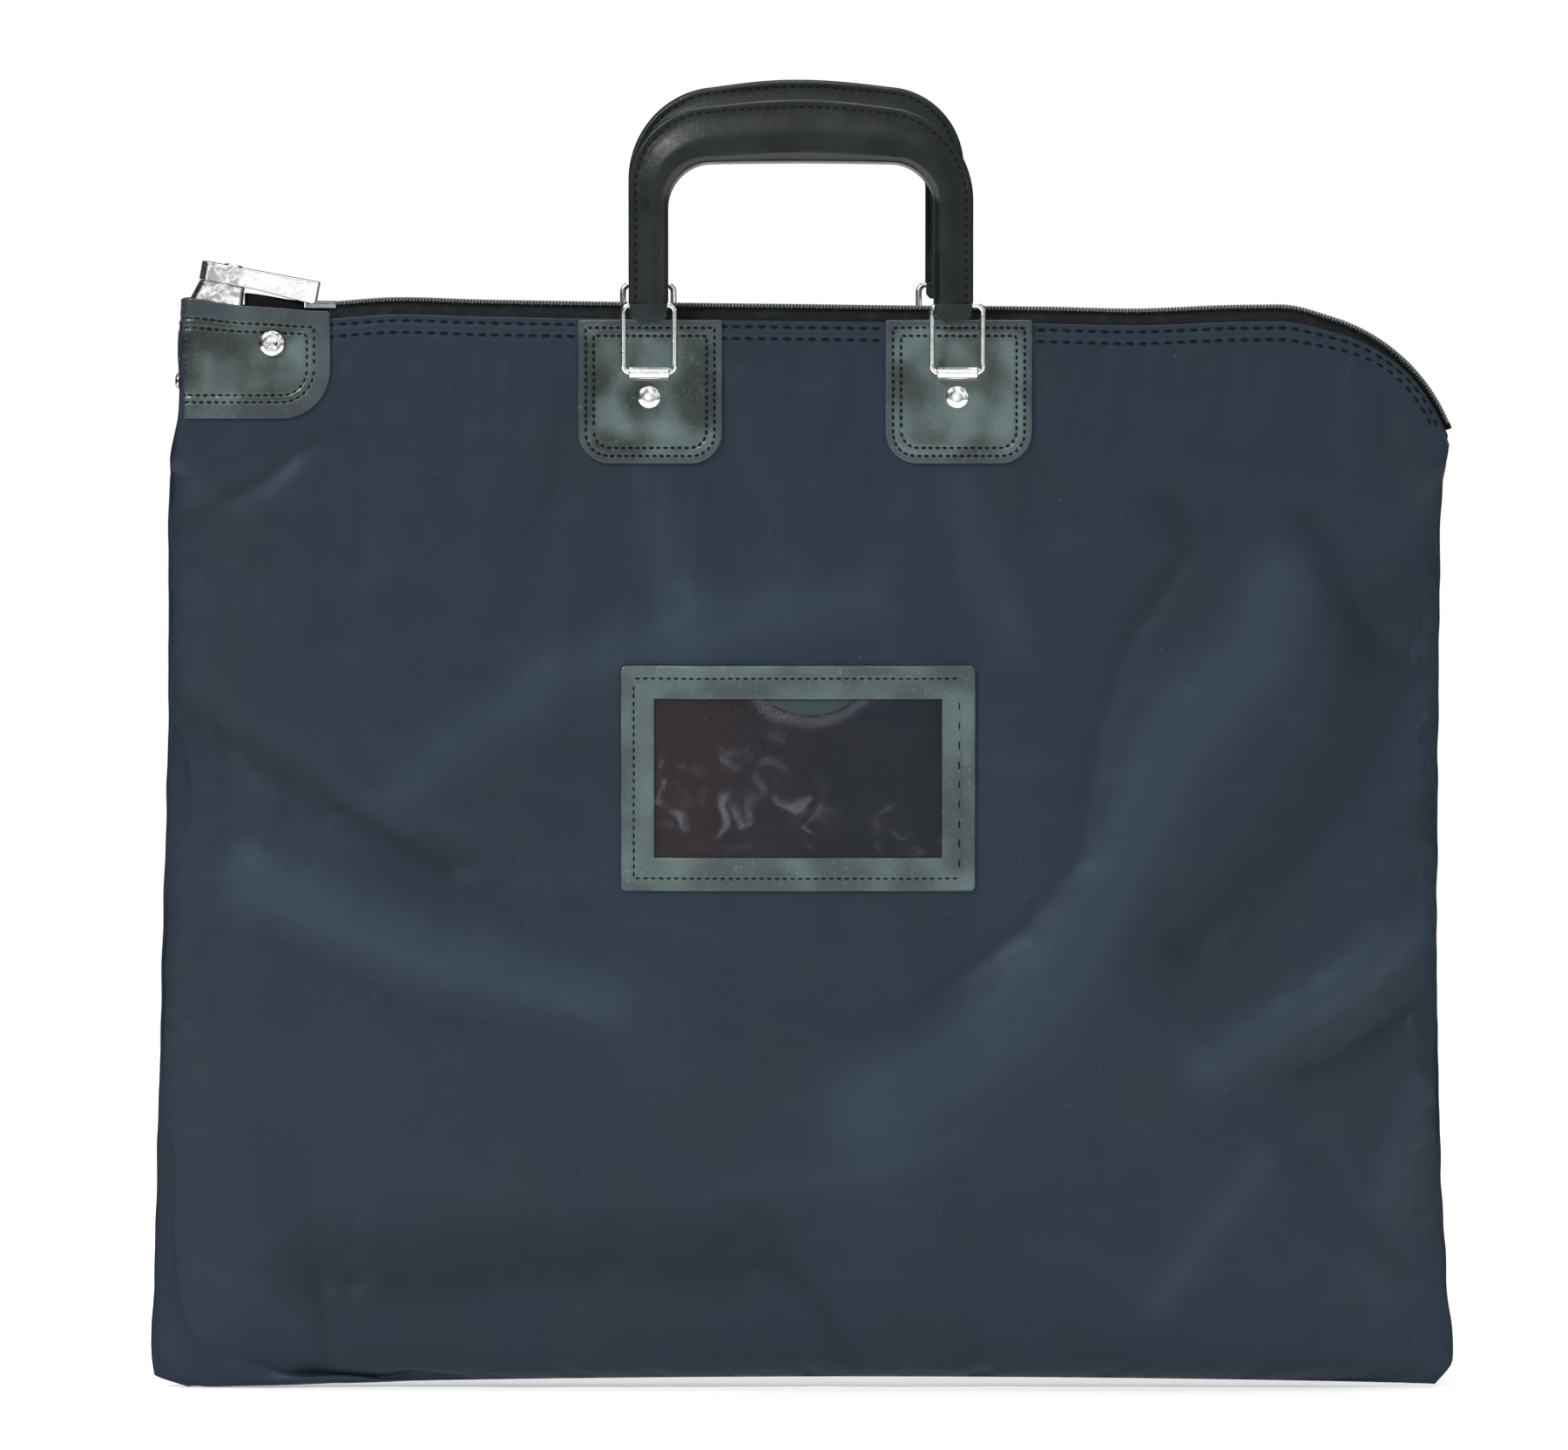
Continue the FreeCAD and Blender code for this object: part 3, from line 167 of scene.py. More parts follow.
def rounded(profile, radius=0.3, steps=3):
    """Rounds the corners of an open profile of 2-D points."""
    out = [profile[0]]
    for before, here, after in zip(profile, profile[1:], profile[2:]):
        a, b, c = Vector(before), Vector(here), Vector(after)
        cut = min(radius, (a - b).length * 0.45, (c - b).length * 0.45)
        start, end = b + (a - b).normalized() * cut, b + (c - b).normalized() * cut
        for k in range(steps + 1):
            t = k / steps
            out.append(tuple((1 - t) ** 2 * start + 2 * t * (1 - t) * b + t * t * end))
    return out + [profile[-1]]


def moved(points, matrix):
    """Points carried by a matrix."""
    return [matrix @ Vector(p) for p in points]


def merged(*parts):
    """Joins (points, faces) pairs."""
    points, faces = [], []
    for p, f in parts:
        base = len(points)
        points += list(p)
        faces += [tuple(v + base for v in face) for face in f]
    return points, faces


def prism(outline, low, high):
    """Outline of (x, z) points carried from y = low to y = high."""
    n = len(outline)
    points = [Vector((x, y, z)) for y in (low, high) for x, z in outline]
    faces = [(i, (i + 1) % n, n + (i + 1) % n, n + i) for i in range(n)]
    return points, faces + [tuple(range(n))[::-1], tuple(range(n, 2 * n))]


def bevelled(obj, width, segments, angle):
    """Rounds an object's sharp edges, and shades it as real rounded metal."""
    made = bmesh.new()
    made.from_mesh(obj.data)
    bmesh.ops.remove_doubles(made, verts=made.verts, dist=1e-7)
    bmesh.ops.recalc_face_normals(made, faces=made.faces)
    sharp = [e for e in made.edges if len(e.link_faces) == 2 and e.calc_face_angle() > math.radians(angle)]
    bmesh.ops.bevel(made, geom=sharp, offset=width * MM, segments=segments, affect="EDGES", profile=0.5,
                    clamp_overlap=True)
    made.to_mesh(obj.data)
    made.free()
    obj.data.shade_smooth()
    weighted = obj.modifiers.new("normals", "WEIGHTED_NORMAL")
    weighted.keep_sharp = True


# ---- Materials ----


class Nodes:
    """Short ways to add and link the nodes of one shader tree."""

    def __init__(self, tree):
        self.tree = tree

    def add(self, kind, **properties):
        node = self.tree.nodes.new(kind)
        for key, value in properties.items():
            setattr(node, key, value)
        return node

    def link(self, source, target):
        self.tree.links.new(source, target)

    def feed(self, socket, value):
        """Sets a constant on a socket, or links another socket to it."""
        if isinstance(value, (int, float, tuple)):
            socket.default_value = value
        else:
            self.link(value, socket)

    def math(self, operation, *values):
        node = self.add("ShaderNodeMath", operation=operation)
        for socket, value in zip(node.inputs, values):
            self.feed(socket, value)
        return node.outputs[0]

    def span(self, value, low, high, to_low=0.0, to_high=1.0):
        """Smooth step of a value from to_low at low to to_high at high."""
        node = self.add("ShaderNodeMapRange", interpolation_type="SMOOTHSTEP")
        for socket, given in zip(node.inputs, (value, low, high, to_low, to_high)):
            self.feed(socket, given)
        return node.outputs[0]

    def blend(self, factor, a, b):
        """Mix of two plain values."""
        node = self.add("ShaderNodeMix")
        for socket, given in zip((node.inputs[0], node.inputs[2], node.inputs[3]), (factor, a, b)):
            self.feed(socket, given)
        return node.outputs[0]

    def noise(self, size, detail=3.0, rough=0.5, distortion=0.0, at=None):
        """Noise with features about one size across, in millimetres unless at says where it is read."""
        node = self.add("ShaderNodeTexNoise")
        self.link(at or self.mm, node.inputs["Vector"])
        values = {"Scale": 1 / size, "Detail": detail, "Roughness": rough, "Distortion": distortion}
        for socket, value in values.items():
            node.inputs[socket].default_value = value
        return node.outputs["Fac"]

    def distance(self, place, point):
        node = self.add("ShaderNodeVectorMath", operation="DISTANCE")
        self.link(place, node.inputs[0])
        node.inputs[1].default_value = point
        return node.outputs["Value"]

    def parts(self, place):
        """X, Y and Z of a vector."""
        node = self.add("ShaderNodeSeparateXYZ")
        self.link(place, node.inputs[0])
        return node.outputs


class Surface(Nodes):
    """A material with one Principled shader, and the patterns that feed it, in millimetres."""

    def __init__(self, name, **settings):
        self.material = bpy.data.materials.new(name)
        self.material.use_nodes = True
        super().__init__(self.material.node_tree)
        self.shader = self.tree.nodes["Principled BSDF"]
        for key, value in settings.items():
            self.shader.inputs[key.replace("_", " ")].default_value = value
        place = self.add("ShaderNodeTexCoord")
        scale = self.add("ShaderNodeVectorMath", operation="SCALE")
        scale.inputs["Scale"].default_value = 1 / MM
        self.link(place.outputs["Object"], scale.inputs[0])
        self.mm = scale.outputs[0]

    def painted(self, name):
        """Value stored at the mesh's points."""
        return self.add("ShaderNodeAttribute", attribute_name=name).outputs["Fac"]

    def cells(self, size, feature="F1", spread=1.0):
        node = self.add("ShaderNodeTexVoronoi", feature=feature)
        self.link(self.mm, node.inputs["Vector"])
        node.inputs["Scale"].default_value = 1 / size
        node.inputs["Randomness"].default_value = spread
        return node.outputs["Distance"]

    def stretched(self, x, y, z):
        """Coordinates multiplied along each axis."""
        node = self.add("ShaderNodeMapping")
        node.inputs["Scale"].default_value = (x, y, z)
        self.link(self.mm, node.inputs["Vector"])
        return node.outputs[0]

    def distance_from(self, x, z):
        """Distance from a line that runs front to back through a point."""
        return self.distance(self.stretched(1, 0, 1), (x, 0, z))

    def ribs(self, pitch, direction, wobble):
        """Bands of threads at a pitch."""
        node = self.add("ShaderNodeTexWave", wave_type="BANDS", bands_direction=direction)
        self.link(self.mm, node.inputs["Vector"])
        node.inputs["Scale"].default_value = 2 * math.pi / 20 / pitch
        node.inputs["Distortion"].default_value = wobble
        node.inputs["Detail"].default_value = 1.0
        return node.outputs["Fac"]

    def mix(self, factor, a, b):
        """Mix of two colours, each a socket or (red, green, blue)."""
        node = self.add("ShaderNodeMix", data_type="RGBA")
        self.feed(node.inputs[0], factor)
        for socket, color in ((node.inputs[6], a), (node.inputs[7], b)):
            self.feed(socket, (*color, 1.0) if isinstance(color, tuple) else color)
        return node.outputs[2]

    def bump(self, height, distance, strength, under=None):
        """Bump from a height, whose full range stands for a distance."""
        node = self.add("ShaderNodeBump")
        node.inputs["Distance"].default_value = distance * MM
        node.inputs["Strength"].default_value = strength
        self.link(height, node.inputs["Height"])
        if under is not None:
            self.link(under, node.inputs["Normal"])
        return node.outputs[0]

    def finish(self, color, roughness, normal, alpha=1.0):
        for name, value in (("Base Color", color), ("Roughness", roughness), ("Normal", normal),
                            ("Alpha", alpha)):
            self.feed(self.shader.inputs[name], value)
        return self.material


def nylon():
    """Coated slate-navy cloth: cloudy tints, lint, painted highlight on the folds' ridges and painted shade in their
    valleys, painted shade along the side seams, fine threads.
    """
    s = Surface("slate_nylon", Specular_IOR_Level=0.41, Specular_Tint=(0.60, 0.80, 1.0, 1.0))
    broad = s.noise(95, 2.0, 0.5, 0.4)
    patches = s.noise(34, 3.0, 0.55)
    streaks = s.noise(16, 4.0, 0.6, 0.6, s.stretched(0.35, 1, 1.2))
    fine = s.noise(1.1, 2.0, 0.6)
    base = s.mix(s.span(broad, 0.3, 0.72), (0.0066, 0.0118, 0.0170), (0.0088, 0.0128, 0.0245))
    base = s.mix(s.span(patches, 0.42, 0.75, 0.0, 0.55), base, (0.0076, 0.0146, 0.0168))
    base = s.mix(s.span(streaks, 0.5, 0.8, 0.0, 0.4), base, (0.0175, 0.0235, 0.0350))
    base = s.mix(s.span(fine, 0.35, 0.7, 0.0, 0.35), base, (0.0080, 0.0120, 0.0190))
    lint = s.span(s.cells(11.0), 0.034, 0.02, 0.0, 0.45)
    base = s.mix(lint, base, (0.13, 0.15, 0.17))
    fold_shading = s.painted("fold_shading")
    # painted shade darkens the folds' valleys, and a painted highlight lightens their ridges
    base = s.mix(s.span(fold_shading, 0.0, -1.0, 0.0, 0.75), base, (0.0035, 0.0058, 0.0080))
    base = s.mix(s.span(fold_shading, 0.0, 1.0, 0.0, 0.45), base, (0.0260, 0.0370, 0.0580))
    # painted shade: darker along the side seams, where the cloth turns away
    base = s.mix(s.math("MULTIPLY", s.painted("seam"), 0.85), base, (0.0030, 0.0045, 0.0065))
    threads = s.math("MULTIPLY", s.ribs(0.62, "X", 0.35), s.ribs(0.62, "Z", 0.35))
    scuffs = s.noise(26, 5.0, 0.62, 1.2)
    rough = s.span(scuffs, 0.3, 0.75, 0.52, 0.38)
    height = s.bump(threads, 0.05, 0.7, s.bump(s.noise(9, 4.0, 0.6), 0.35, 0.5))
    return s.finish(base, rough, height)


def vinyl(name, dark, light, grain, shine, relief, painted_glints, gloss=0.5):
    """Black vinyl or leatherette: a pebbled grain, a soft broad painted sheen in patches, and paler painted glints on
    the grain's wrinkles.
    """
    s = Surface(name, Specular_IOR_Level=gloss)
    pebbles = s.cells(grain, "SMOOTH_F1", 0.9)
    wrinkles = s.noise(grain * 2.6, 5.0, 0.62, 1.4)
    broad = s.noise(19, 1.0, 0.4, 0.15)
    # painted sheen: broad soft patches between the dark colour and the light one
    color = s.mix(s.span(broad, 0.34, 0.74), dark, light)
    margin = s.painted("margin")
    color = s.mix(s.math("MULTIPLY", margin, 0.7), color, (0.014, 0.026, 0.036))
    # painted glints: paler spots on the grain's wrinkles
    color = s.mix(s.span(wrinkles, 0.55, 0.78, 0.0, painted_glints), color, tuple(2.2 * c + 0.004 for c in light))
    rough = s.span(s.noise(13, 4.0, 0.6), 0.3, 0.7, shine + 0.1, shine - 0.08)
    rough = s.math("ADD", rough, s.math("MULTIPLY", margin, 0.1))
    grainy = s.bump(pebbles, relief, 0.6, s.bump(wrinkles, relief * 1.6, 0.5))
    return s.finish(color, rough, grainy)


DIM_REFLECTION_X = (-214.0, -219.0)  # the metal's cloudy painted darker reflection, and its dents, grow from the first of these to past the second


def chrome(name, tint=(0.90, 0.90, 0.91), rough=0.13, scratch=0.03, edge_dark_reflection=0.85):
    """Polished metal with cloudy patches of painted darker reflection, strongest at the lock's left end, fine marks,
    and a painted dark reflection along its edges.
    """
    s = Surface(name, Metallic=1.0)
    marks = s.noise(2.4, 6.0, 0.7, 0.4, s.stretched(1, 1, 3.0))
    cloudy = s.noise(4.2, 4.0, 0.62, 0.8)
    reflection_and_relief = s.span(s.parts(s.mm)["X"], *DIM_REFLECTION_X, 0.22, 1.0)
    # painted reflection: cloudy darker patches, faint everywhere and full at the lock's left end
    color = s.mix(s.math("MULTIPLY", reflection_and_relief, s.span(cloudy, 0.40, 0.62)), tint, tuple(c * 0.42 for c in tint))
    shape = s.add("ShaderNodeNewGeometry")
    soft = s.add("ShaderNodeBevel", samples=6)
    soft.inputs["Radius"].default_value = 0.9 * MM
    facing = s.add("ShaderNodeVectorMath", operation="DOT_PRODUCT")
    s.link(shape.outputs["True Normal"], facing.inputs[0])
    s.link(soft.outputs[0], facing.inputs[1])
    edge = s.span(facing.outputs["Value"], 0.998, 0.95, 0.0, edge_dark_reflection)
    # painted reflection: dark along the rounded edges
    color = s.mix(edge, color, (0.035, 0.032, 0.034))
    roughness = s.span(marks, 0.35, 0.75, rough, rough + 0.16)
    dents = s.bump(s.math("MULTIPLY", cloudy, reflection_and_relief), 0.3, 0.5, s.bump(marks, scratch, 0.5))
    return s.finish(color, roughness, dents)


def tape_weave():
    """Black woven tape with a faint diagonal rib."""
    s = Surface("zipper_tape_weave", Specular_IOR_Level=0.12)
    herring = s.math("MULTIPLY", s.ribs(1.0, "DIAGONAL", 0.2), s.ribs(0.8, "Z", 0.2))
    color = s.mix(herring, (0.0015, 0.002, 0.0025), (0.0075, 0.0095, 0.0105))
    color = s.mix(s.span(s.noise(6, 3.0), 0.5, 0.75, 0, 0.5), color, (0.012, 0.015, 0.016))
    return s.finish(color, s.span(s.noise(4), 0.3, 0.7, 0.75, 0.6), s.bump(herring, 0.14, 0.7))


def coil_plastic():
    """Grey-black nylon of the zipper's coils, with paler patches of painted greenish-grey highlight."""
    s = Surface("zipper_coil_nylon", Specular_IOR_Level=0.5)
    reflection_and_relief = s.noise(3.0, 3.0, 0.6)
    # painted highlight: paler greenish-grey patches
    return s.finish(s.mix(reflection_and_relief, (0.05, 0.06, 0.058), (0.12, 0.145, 0.135)), s.span(reflection_and_relief, 0.3, 0.7, 0.42, 0.3),
                    s.bump(reflection_and_relief, 0.03, 0.5))


def thread_black():
    """Dull twisted thread."""
    s = Surface("black_thread", Specular_IOR_Level=0.1)
    twist = s.noise(0.35, 2.0)
    return s.finish(s.mix(twist, (0.001, 0.0015, 0.002), (0.006, 0.008, 0.010)),
                    s.span(twist, 0.3, 0.7, 0.8, 0.6), s.bump(twist, 0.05, 0.6))


NOTCH, NOTCH_R = (2.7, 289.5), 27.0  # the pane's thumb notch: the middle (x, z) and radius of its arc


def clear_vinyl():
    """Clear sheet with cloudy handling marks, slow ripples, and a painted pale arc highlight below the notch."""
    s = Surface("clear_vinyl_pane", Specular_IOR_Level=0.2)
    smudge = s.noise(15, 4.0, 0.55, 1.6)
    rubbed = s.noise(38, 2.0, 0.5, 0.4)
    both = s.math("MULTIPLY", s.span(smudge, 0.52, 0.72), s.span(rubbed, 0.45, 0.65))
    away = s.math("ADD", s.distance_from(*NOTCH), s.math("MULTIPLY", s.noise(14, 2.0), 5.0))
    # painted highlight: a pale hazy band just outside the notch's arc
    arc_highlight = s.math("MULTIPLY", s.span(away, NOTCH_R + 2.0, NOTCH_R + 4.0),
                  s.span(away, NOTCH_R + 9.0, NOTCH_R + 5.0))
    haze = s.math("ADD", s.math("MULTIPLY", both, 0.20), s.math("MULTIPLY_ADD", arc_highlight, 0.10, 0.022))
    ripple = s.noise(26, 1.0, 0.4, 0.6)
    return s.finish((0.30, 0.32, 0.36, 1.0), s.span(smudge, 0.3, 0.75, 0.14, 0.34),
                    s.bump(ripple, 1.6, 0.6), haze)


def card_cloth():
    """Backing behind the pane: maroon-black at the left, blue-black at the right, paler in the notch."""
    s = Surface("window_backing_cloth", Specular_IOR_Level=0.15)
    warm = s.math("ADD", s.parts(s.mm)["X"], s.math("MULTIPLY", s.noise(28, 3.0), 46.0))
    color = s.mix(s.span(warm, -22.0, 46.0), (0.0120, 0.0064, 0.0088), (0.0036, 0.0058, 0.0096))
    color = s.mix(s.span(s.noise(12, 4.0), 0.5, 0.8, 0, 0.4), color, (0.014, 0.011, 0.016))
    color = s.mix(s.span(s.distance_from(*NOTCH), NOTCH_R + 0.6, NOTCH_R - 0.8), color, (0.030, 0.046, 0.046))
    return s.finish(color, 0.6, s.bump(s.noise(5.0, 3.0), 0.3, 0.5))


def floor_paper():
    """White studio floor."""
    s = Surface("studio_floor", Specular_IOR_Level=0.2)
    soft = s.noise(400, 2.0)
    return s.finish(s.mix(soft, (0.92, 0.92, 0.92), (0.94, 0.94, 0.94)), 0.85, s.bump(soft, 0.1, 0.1))


NYLON = nylon()
# after each name: the dark colour, the colour of the painted sheen, grain, shine, relief, the strength of the painted
# glints, and gloss
VINYL = vinyl("black_vinyl", (0.0060, 0.0120, 0.0120), (0.074, 0.112, 0.108), 1.0, 0.31, 0.22, 0.3, 0.6)
FRAME_VINYL = vinyl("window_border_vinyl", (0.028, 0.044, 0.044), (0.066, 0.100, 0.098), 0.9, 0.36, 0.20, 0.5)
LEATHERETTE = vinyl("handle_leatherette", (0.0020, 0.0048, 0.0030), (0.0058, 0.0105, 0.0072), 0.85, 0.44,
                    0.14, 0.3, 0.3)
ROLLED = vinyl("handle_rolled_edge", (0.005, 0.007, 0.008), (0.009, 0.012, 0.014), 2.4, 0.22, 0.02, 0.0)
GLOSSY_CAP = vinyl("glossy_end_cap", (0.003, 0.005, 0.006), (0.008, 0.013, 0.015), 3.6, 0.24, 0.5, 0.1, 0.4)
BRIGHT = chrome("bright_nickel")
SATIN = chrome("satin_nickel", (0.40, 0.41, 0.42), 0.24, 0.05)
PLATED = chrome("plated_steel_washer", (0.55, 0.55, 0.55), 0.35, 0.03, 0.4)
BRASS = chrome("machined_brass", (0.70, 0.54, 0.27), 0.25, 0.03, 0.5)
TAPE = tape_weave()
COIL = coil_plastic()
THREAD = thread_black()
PANE = clear_vinyl()
CARD_CLOTH = card_cloth()

# ---- The bag's outline and depth ----

CHAIN_Z, CORNER_X, CORNER_R, SWEEP = 419.9, 183.8, 72.0, math.radians(69)
HEM = 5.1  # from the middle of the chain to the edge of the hem
TOP_DEPTH, BELLY_DEPTH = 7.0, 15.2
LEFT_EDGE = ((0.3, -239.6), (4.7, -253.8), (30, -252.9), (90, -250.9), (150, -249.3), (210, -247.2),
             (269, -245.6), (320, -245.9), (362, -245.0), (378, -240.8), (415, -240.2))
RIGHT_EDGE = ((1.3, 245.7), (10.1, 254.0), (33, 250.9), (73, 248.4), (120, 246.7), (168, 245.8), (235, 245.8),
              (303, 246.4), (340, 246.5), (352, 247.1), (361, 248.4), (367, 249.5), (372, 247.6))
BOTTOM_LEFT, BOTTOM_RIGHT, BOTTOM_SPAN = -239.6, 245.7, 485
RIPPLE = ((-240, 0.4), (-185, 0.9), (-160, 2.7), (-125, 1.9), (-60, 0.8), (0, 0.1), (45, -0.5), (95, -0.9),
          (128, -1.6), (166, -0.2), (184, 0.0))  # rise and dip of the zipper along the top


def along_top(s, inset):
    """Point (x, z) at a distance s along the chain from x = -240, and inset below the middle of the chain."""
    straight = CORNER_X + 240
    turn = np.clip((s - straight) / CORNER_R, 0, None)
    radius = CORNER_R - inset * (1 - 0.5 * ease(turn / 0.9) * (inset > 4)) - 1.7 * ease(turn / 0.3)
    x = np.where(s < straight, -240 + s, CORNER_X + radius * np.sin(turn))
    z = np.where(s < straight, CHAIN_Z - inset, CHAIN_Z - CORNER_R + radius * np.cos(turn))
    return x, z + ripple(x)


def ripple(x):
    return np.where(x < CORNER_X, smooth_curve(x, RIPPLE), 0.0)


TOP_LENGTH = CORNER_X + 240 + CORNER_R * SWEEP


def edge_at(knots, z):
    """X of a side edge, given as (z, x) pairs, at a height."""
    return np.interp(z, *np.transpose(knots))


def bottom_z(share):
    """Height of the bottom edge, which arches a little, at a share of its length from the left."""
    return 0.3 + share + 3.4 * np.sin(np.pi * np.clip(share, 0, 1)) ** 0.8


def walk(knots, share):
    """Point (x, z) at a share of the way up a side edge given as (z, x) pairs, by length."""
    z = np.concatenate([np.linspace(a[0], b[0], 8, endpoint=False) for a, b in zip(knots, knots[1:])])
    z = np.append(z, knots[-1][0])
    x = edge_at(knots, z)
    for _ in range(2):
        x[3:-3] = (x[1:-5] + x[2:-4] + x[3:-3] + x[4:-2] + x[5:-1]) / 5
    run = np.concatenate([[0], np.cumsum(np.hypot(np.diff(x), np.diff(z)))])
    want = share * run[-1]
    return np.interp(want, run, x), np.interp(want, run, z)


def bag_grid(columns, shares):
    """Grid of (x, z) over a panel: rows go up from the bottom edge to the hem, at the given shares."""
    u = np.linspace(0, 1, columns)
    v = np.asarray(shares)
    bottom = (np.interp(u, [0, 1], [BOTTOM_LEFT, BOTTOM_RIGHT]), bottom_z(u))
    top = along_top(u * TOP_LENGTH, HEM)
    left, right = walk(LEFT_EDGE, v), walk(RIGHT_EDGE, v)
    out = []
    for k in range(2):
        b, t, l, r = bottom[k][None, :], top[k][None, :], left[k][:, None], right[k][:, None]
        uu, vv = u[None, :], v[:, None]
        flat = ((1 - uu) * (1 - vv) * bottom[k][0] + uu * (1 - vv) * bottom[k][-1]
                + (1 - uu) * vv * top[k][0] + uu * vv * top[k][-1])
        out.append((1 - vv) * b + vv * t + (1 - uu) * l + uu * r - flat)
    return out[0], out[1]


def bag_depth(x, z):
    """Distance of the cloth out from the middle plane."""
    full = BELLY_DEPTH + (TOP_DEPTH - BELLY_DEPTH) * ease((z - 110) / 242)
    left, right = edge_at(LEFT_EDGE, z), edge_at(RIGHT_EDGE, z)
    right = np.where(z > 330, np.maximum(right, 246 + 6 * ease((z - 320) / 40)), right)
    opened = ease((z - 322) / 44)
    margin = 44 - 38 * opened
    base = bottom_z((x - BOTTOM_LEFT) / BOTTOM_SPAN)
    closing = rise(x - left, margin) * rise(right - x, margin) * rise(z - base, 62)
    mouth = ease((z - 352) / 24)
    return full * (closing + (1 - closing) * mouth)


# ---- Panels: a cloth simulation of the whole bag, held by its seams, hem and hardware ----

SIM_COLUMNS, SIM_ROWS = 93, 79
CAP = 4.2  # furthest that the simulation may move a point
SEAM_TOP = 352  # height below which the side seams join the two panels
FRAMES = 20


def held(x, z):
    """How firmly the cloth is held: 1 at the hem, under the tabs and under the patch."""
    grip = ease((z - 388) / 20)
    for _, sign in MOUNTS:
        across = 1 - ease((np.abs(x - sign * 59.4) - 26) / 12)
        grip = np.maximum(grip, across * ease((z - 350) / 12))
    patch = (1 - ease((x + 186) / 16)) * ease((z - 364) / 14)
    corner = 1 - ease((CORNER_R - HEM - np.hypot(x - CORNER_X, z - CHAIN_Z + CORNER_R)) / 18)
    corner = np.where((x > CORNER_X) & (z > CHAIN_Z - CORNER_R), corner, 0)
    return np.maximum(grip, np.maximum(patch, corner))


def simulated():
    """Movement of the cloth at each point of the coarse grid, for the front and rear panels."""
    x, z = bag_grid(SIM_COLUMNS, np.linspace(0, 1, SIM_ROWS))
    depth = bag_depth(x, z)
    n = x.size
    front = np.stack([x, -depth, z], axis=-1).reshape(-1, 3)
    rear = np.stack([x, depth, z], axis=-1).reshape(-1, 3)
    index = np.arange(n).reshape(x.shape)
    seam = np.zeros(x.shape, dtype=bool)
    seam[0, :] = True
    seam[:, 0] = z[:, 0] < SEAM_TOP
    seam[:, -1] |= z[:, -1] < SEAM_TOP
    twin = np.where(seam, index, index + n).reshape(-1)
    faces = grid_faces(SIM_ROWS, SIM_COLUMNS)
    faces += [tuple(int(twin[v]) for v in f[::-1]) for f in faces]
    start = np.concatenate([front, rear])
    mesh = bpy.data.meshes.new("bag_simulation")
    mesh.from_pydata([tuple(p * MM) for p in start], [], faces)
    obj = bpy.data.objects.new("bag_simulation", mesh)
    bpy.context.scene.collection.objects.link(obj)
    pins = np.maximum(held(x, z), np.where(seam, 1.0, 0.0)).reshape(-1)
    group = obj.vertex_groups.new(name="held")
    for i, weight in enumerate(np.concatenate([pins, pins])):
        if weight > 0.02:
            group.add([i], float(weight), "REPLACE")
    cloth = obj.modifiers.new("cloth", "CLOTH").settings
    cloth.quality = 6
    cloth.mass = 0.25
    cloth.tension_stiffness = cloth.compression_stiffness = 28
    cloth.shear_stiffness = 10
    cloth.bending_stiffness = 3.5
    cloth.tension_damping = cloth.compression_damping = cloth.shear_damping = 12
    cloth.vertex_group_mass = "held"
    cloth.use_pressure = True
    cloth.uniform_pressure_force = 1.6
    cloth.shrink_min = cloth.shrink_max = -0.006
    cloth.effector_weights.gravity = 0.35
    scene = bpy.context.scene
    for number in range(1, FRAMES + 1):
        scene.frame_set(number)
    solved = obj.evaluated_get(bpy.context.evaluated_depsgraph_get())
    after = np.array([tuple(v.co / MM) for v in solved.data.vertices])
    scene.frame_set(1)
    bpy.data.objects.remove(obj)
    move = after - start
    move[n:][seam.reshape(-1)] = move[:n][seam.reshape(-1)]
    length = np.linalg.norm(move, axis=1, keepdims=True)
    move *= CAP * np.tanh(length / CAP) / np.maximum(length, 1e-6)
    return move[:n].reshape(*x.shape, 3), move[n:].reshape(*x.shape, 3)


def between(field, columns, shares):
    """Coarse field of vectors read at the points of a finer grid."""
    rows = np.asarray(shares) * (SIM_ROWS - 1)
    cols = np.linspace(0, SIM_COLUMNS - 1, columns)
    r, c = np.minimum(rows.astype(int), SIM_ROWS - 2), np.minimum(cols.astype(int), SIM_COLUMNS - 2)
    fr, fc = ease(rows - r)[:, None, None], ease(cols - c)[None, :, None]
    a, b = field[np.ix_(r, c)], field[np.ix_(r, c + 1)]
    d, e = field[np.ix_(r + 1, c)], field[np.ix_(r + 1, c + 1)]
    return (1 - fr) * ((1 - fc) * a + fc * b) + fr * ((1 - fc) * d + fc * e)


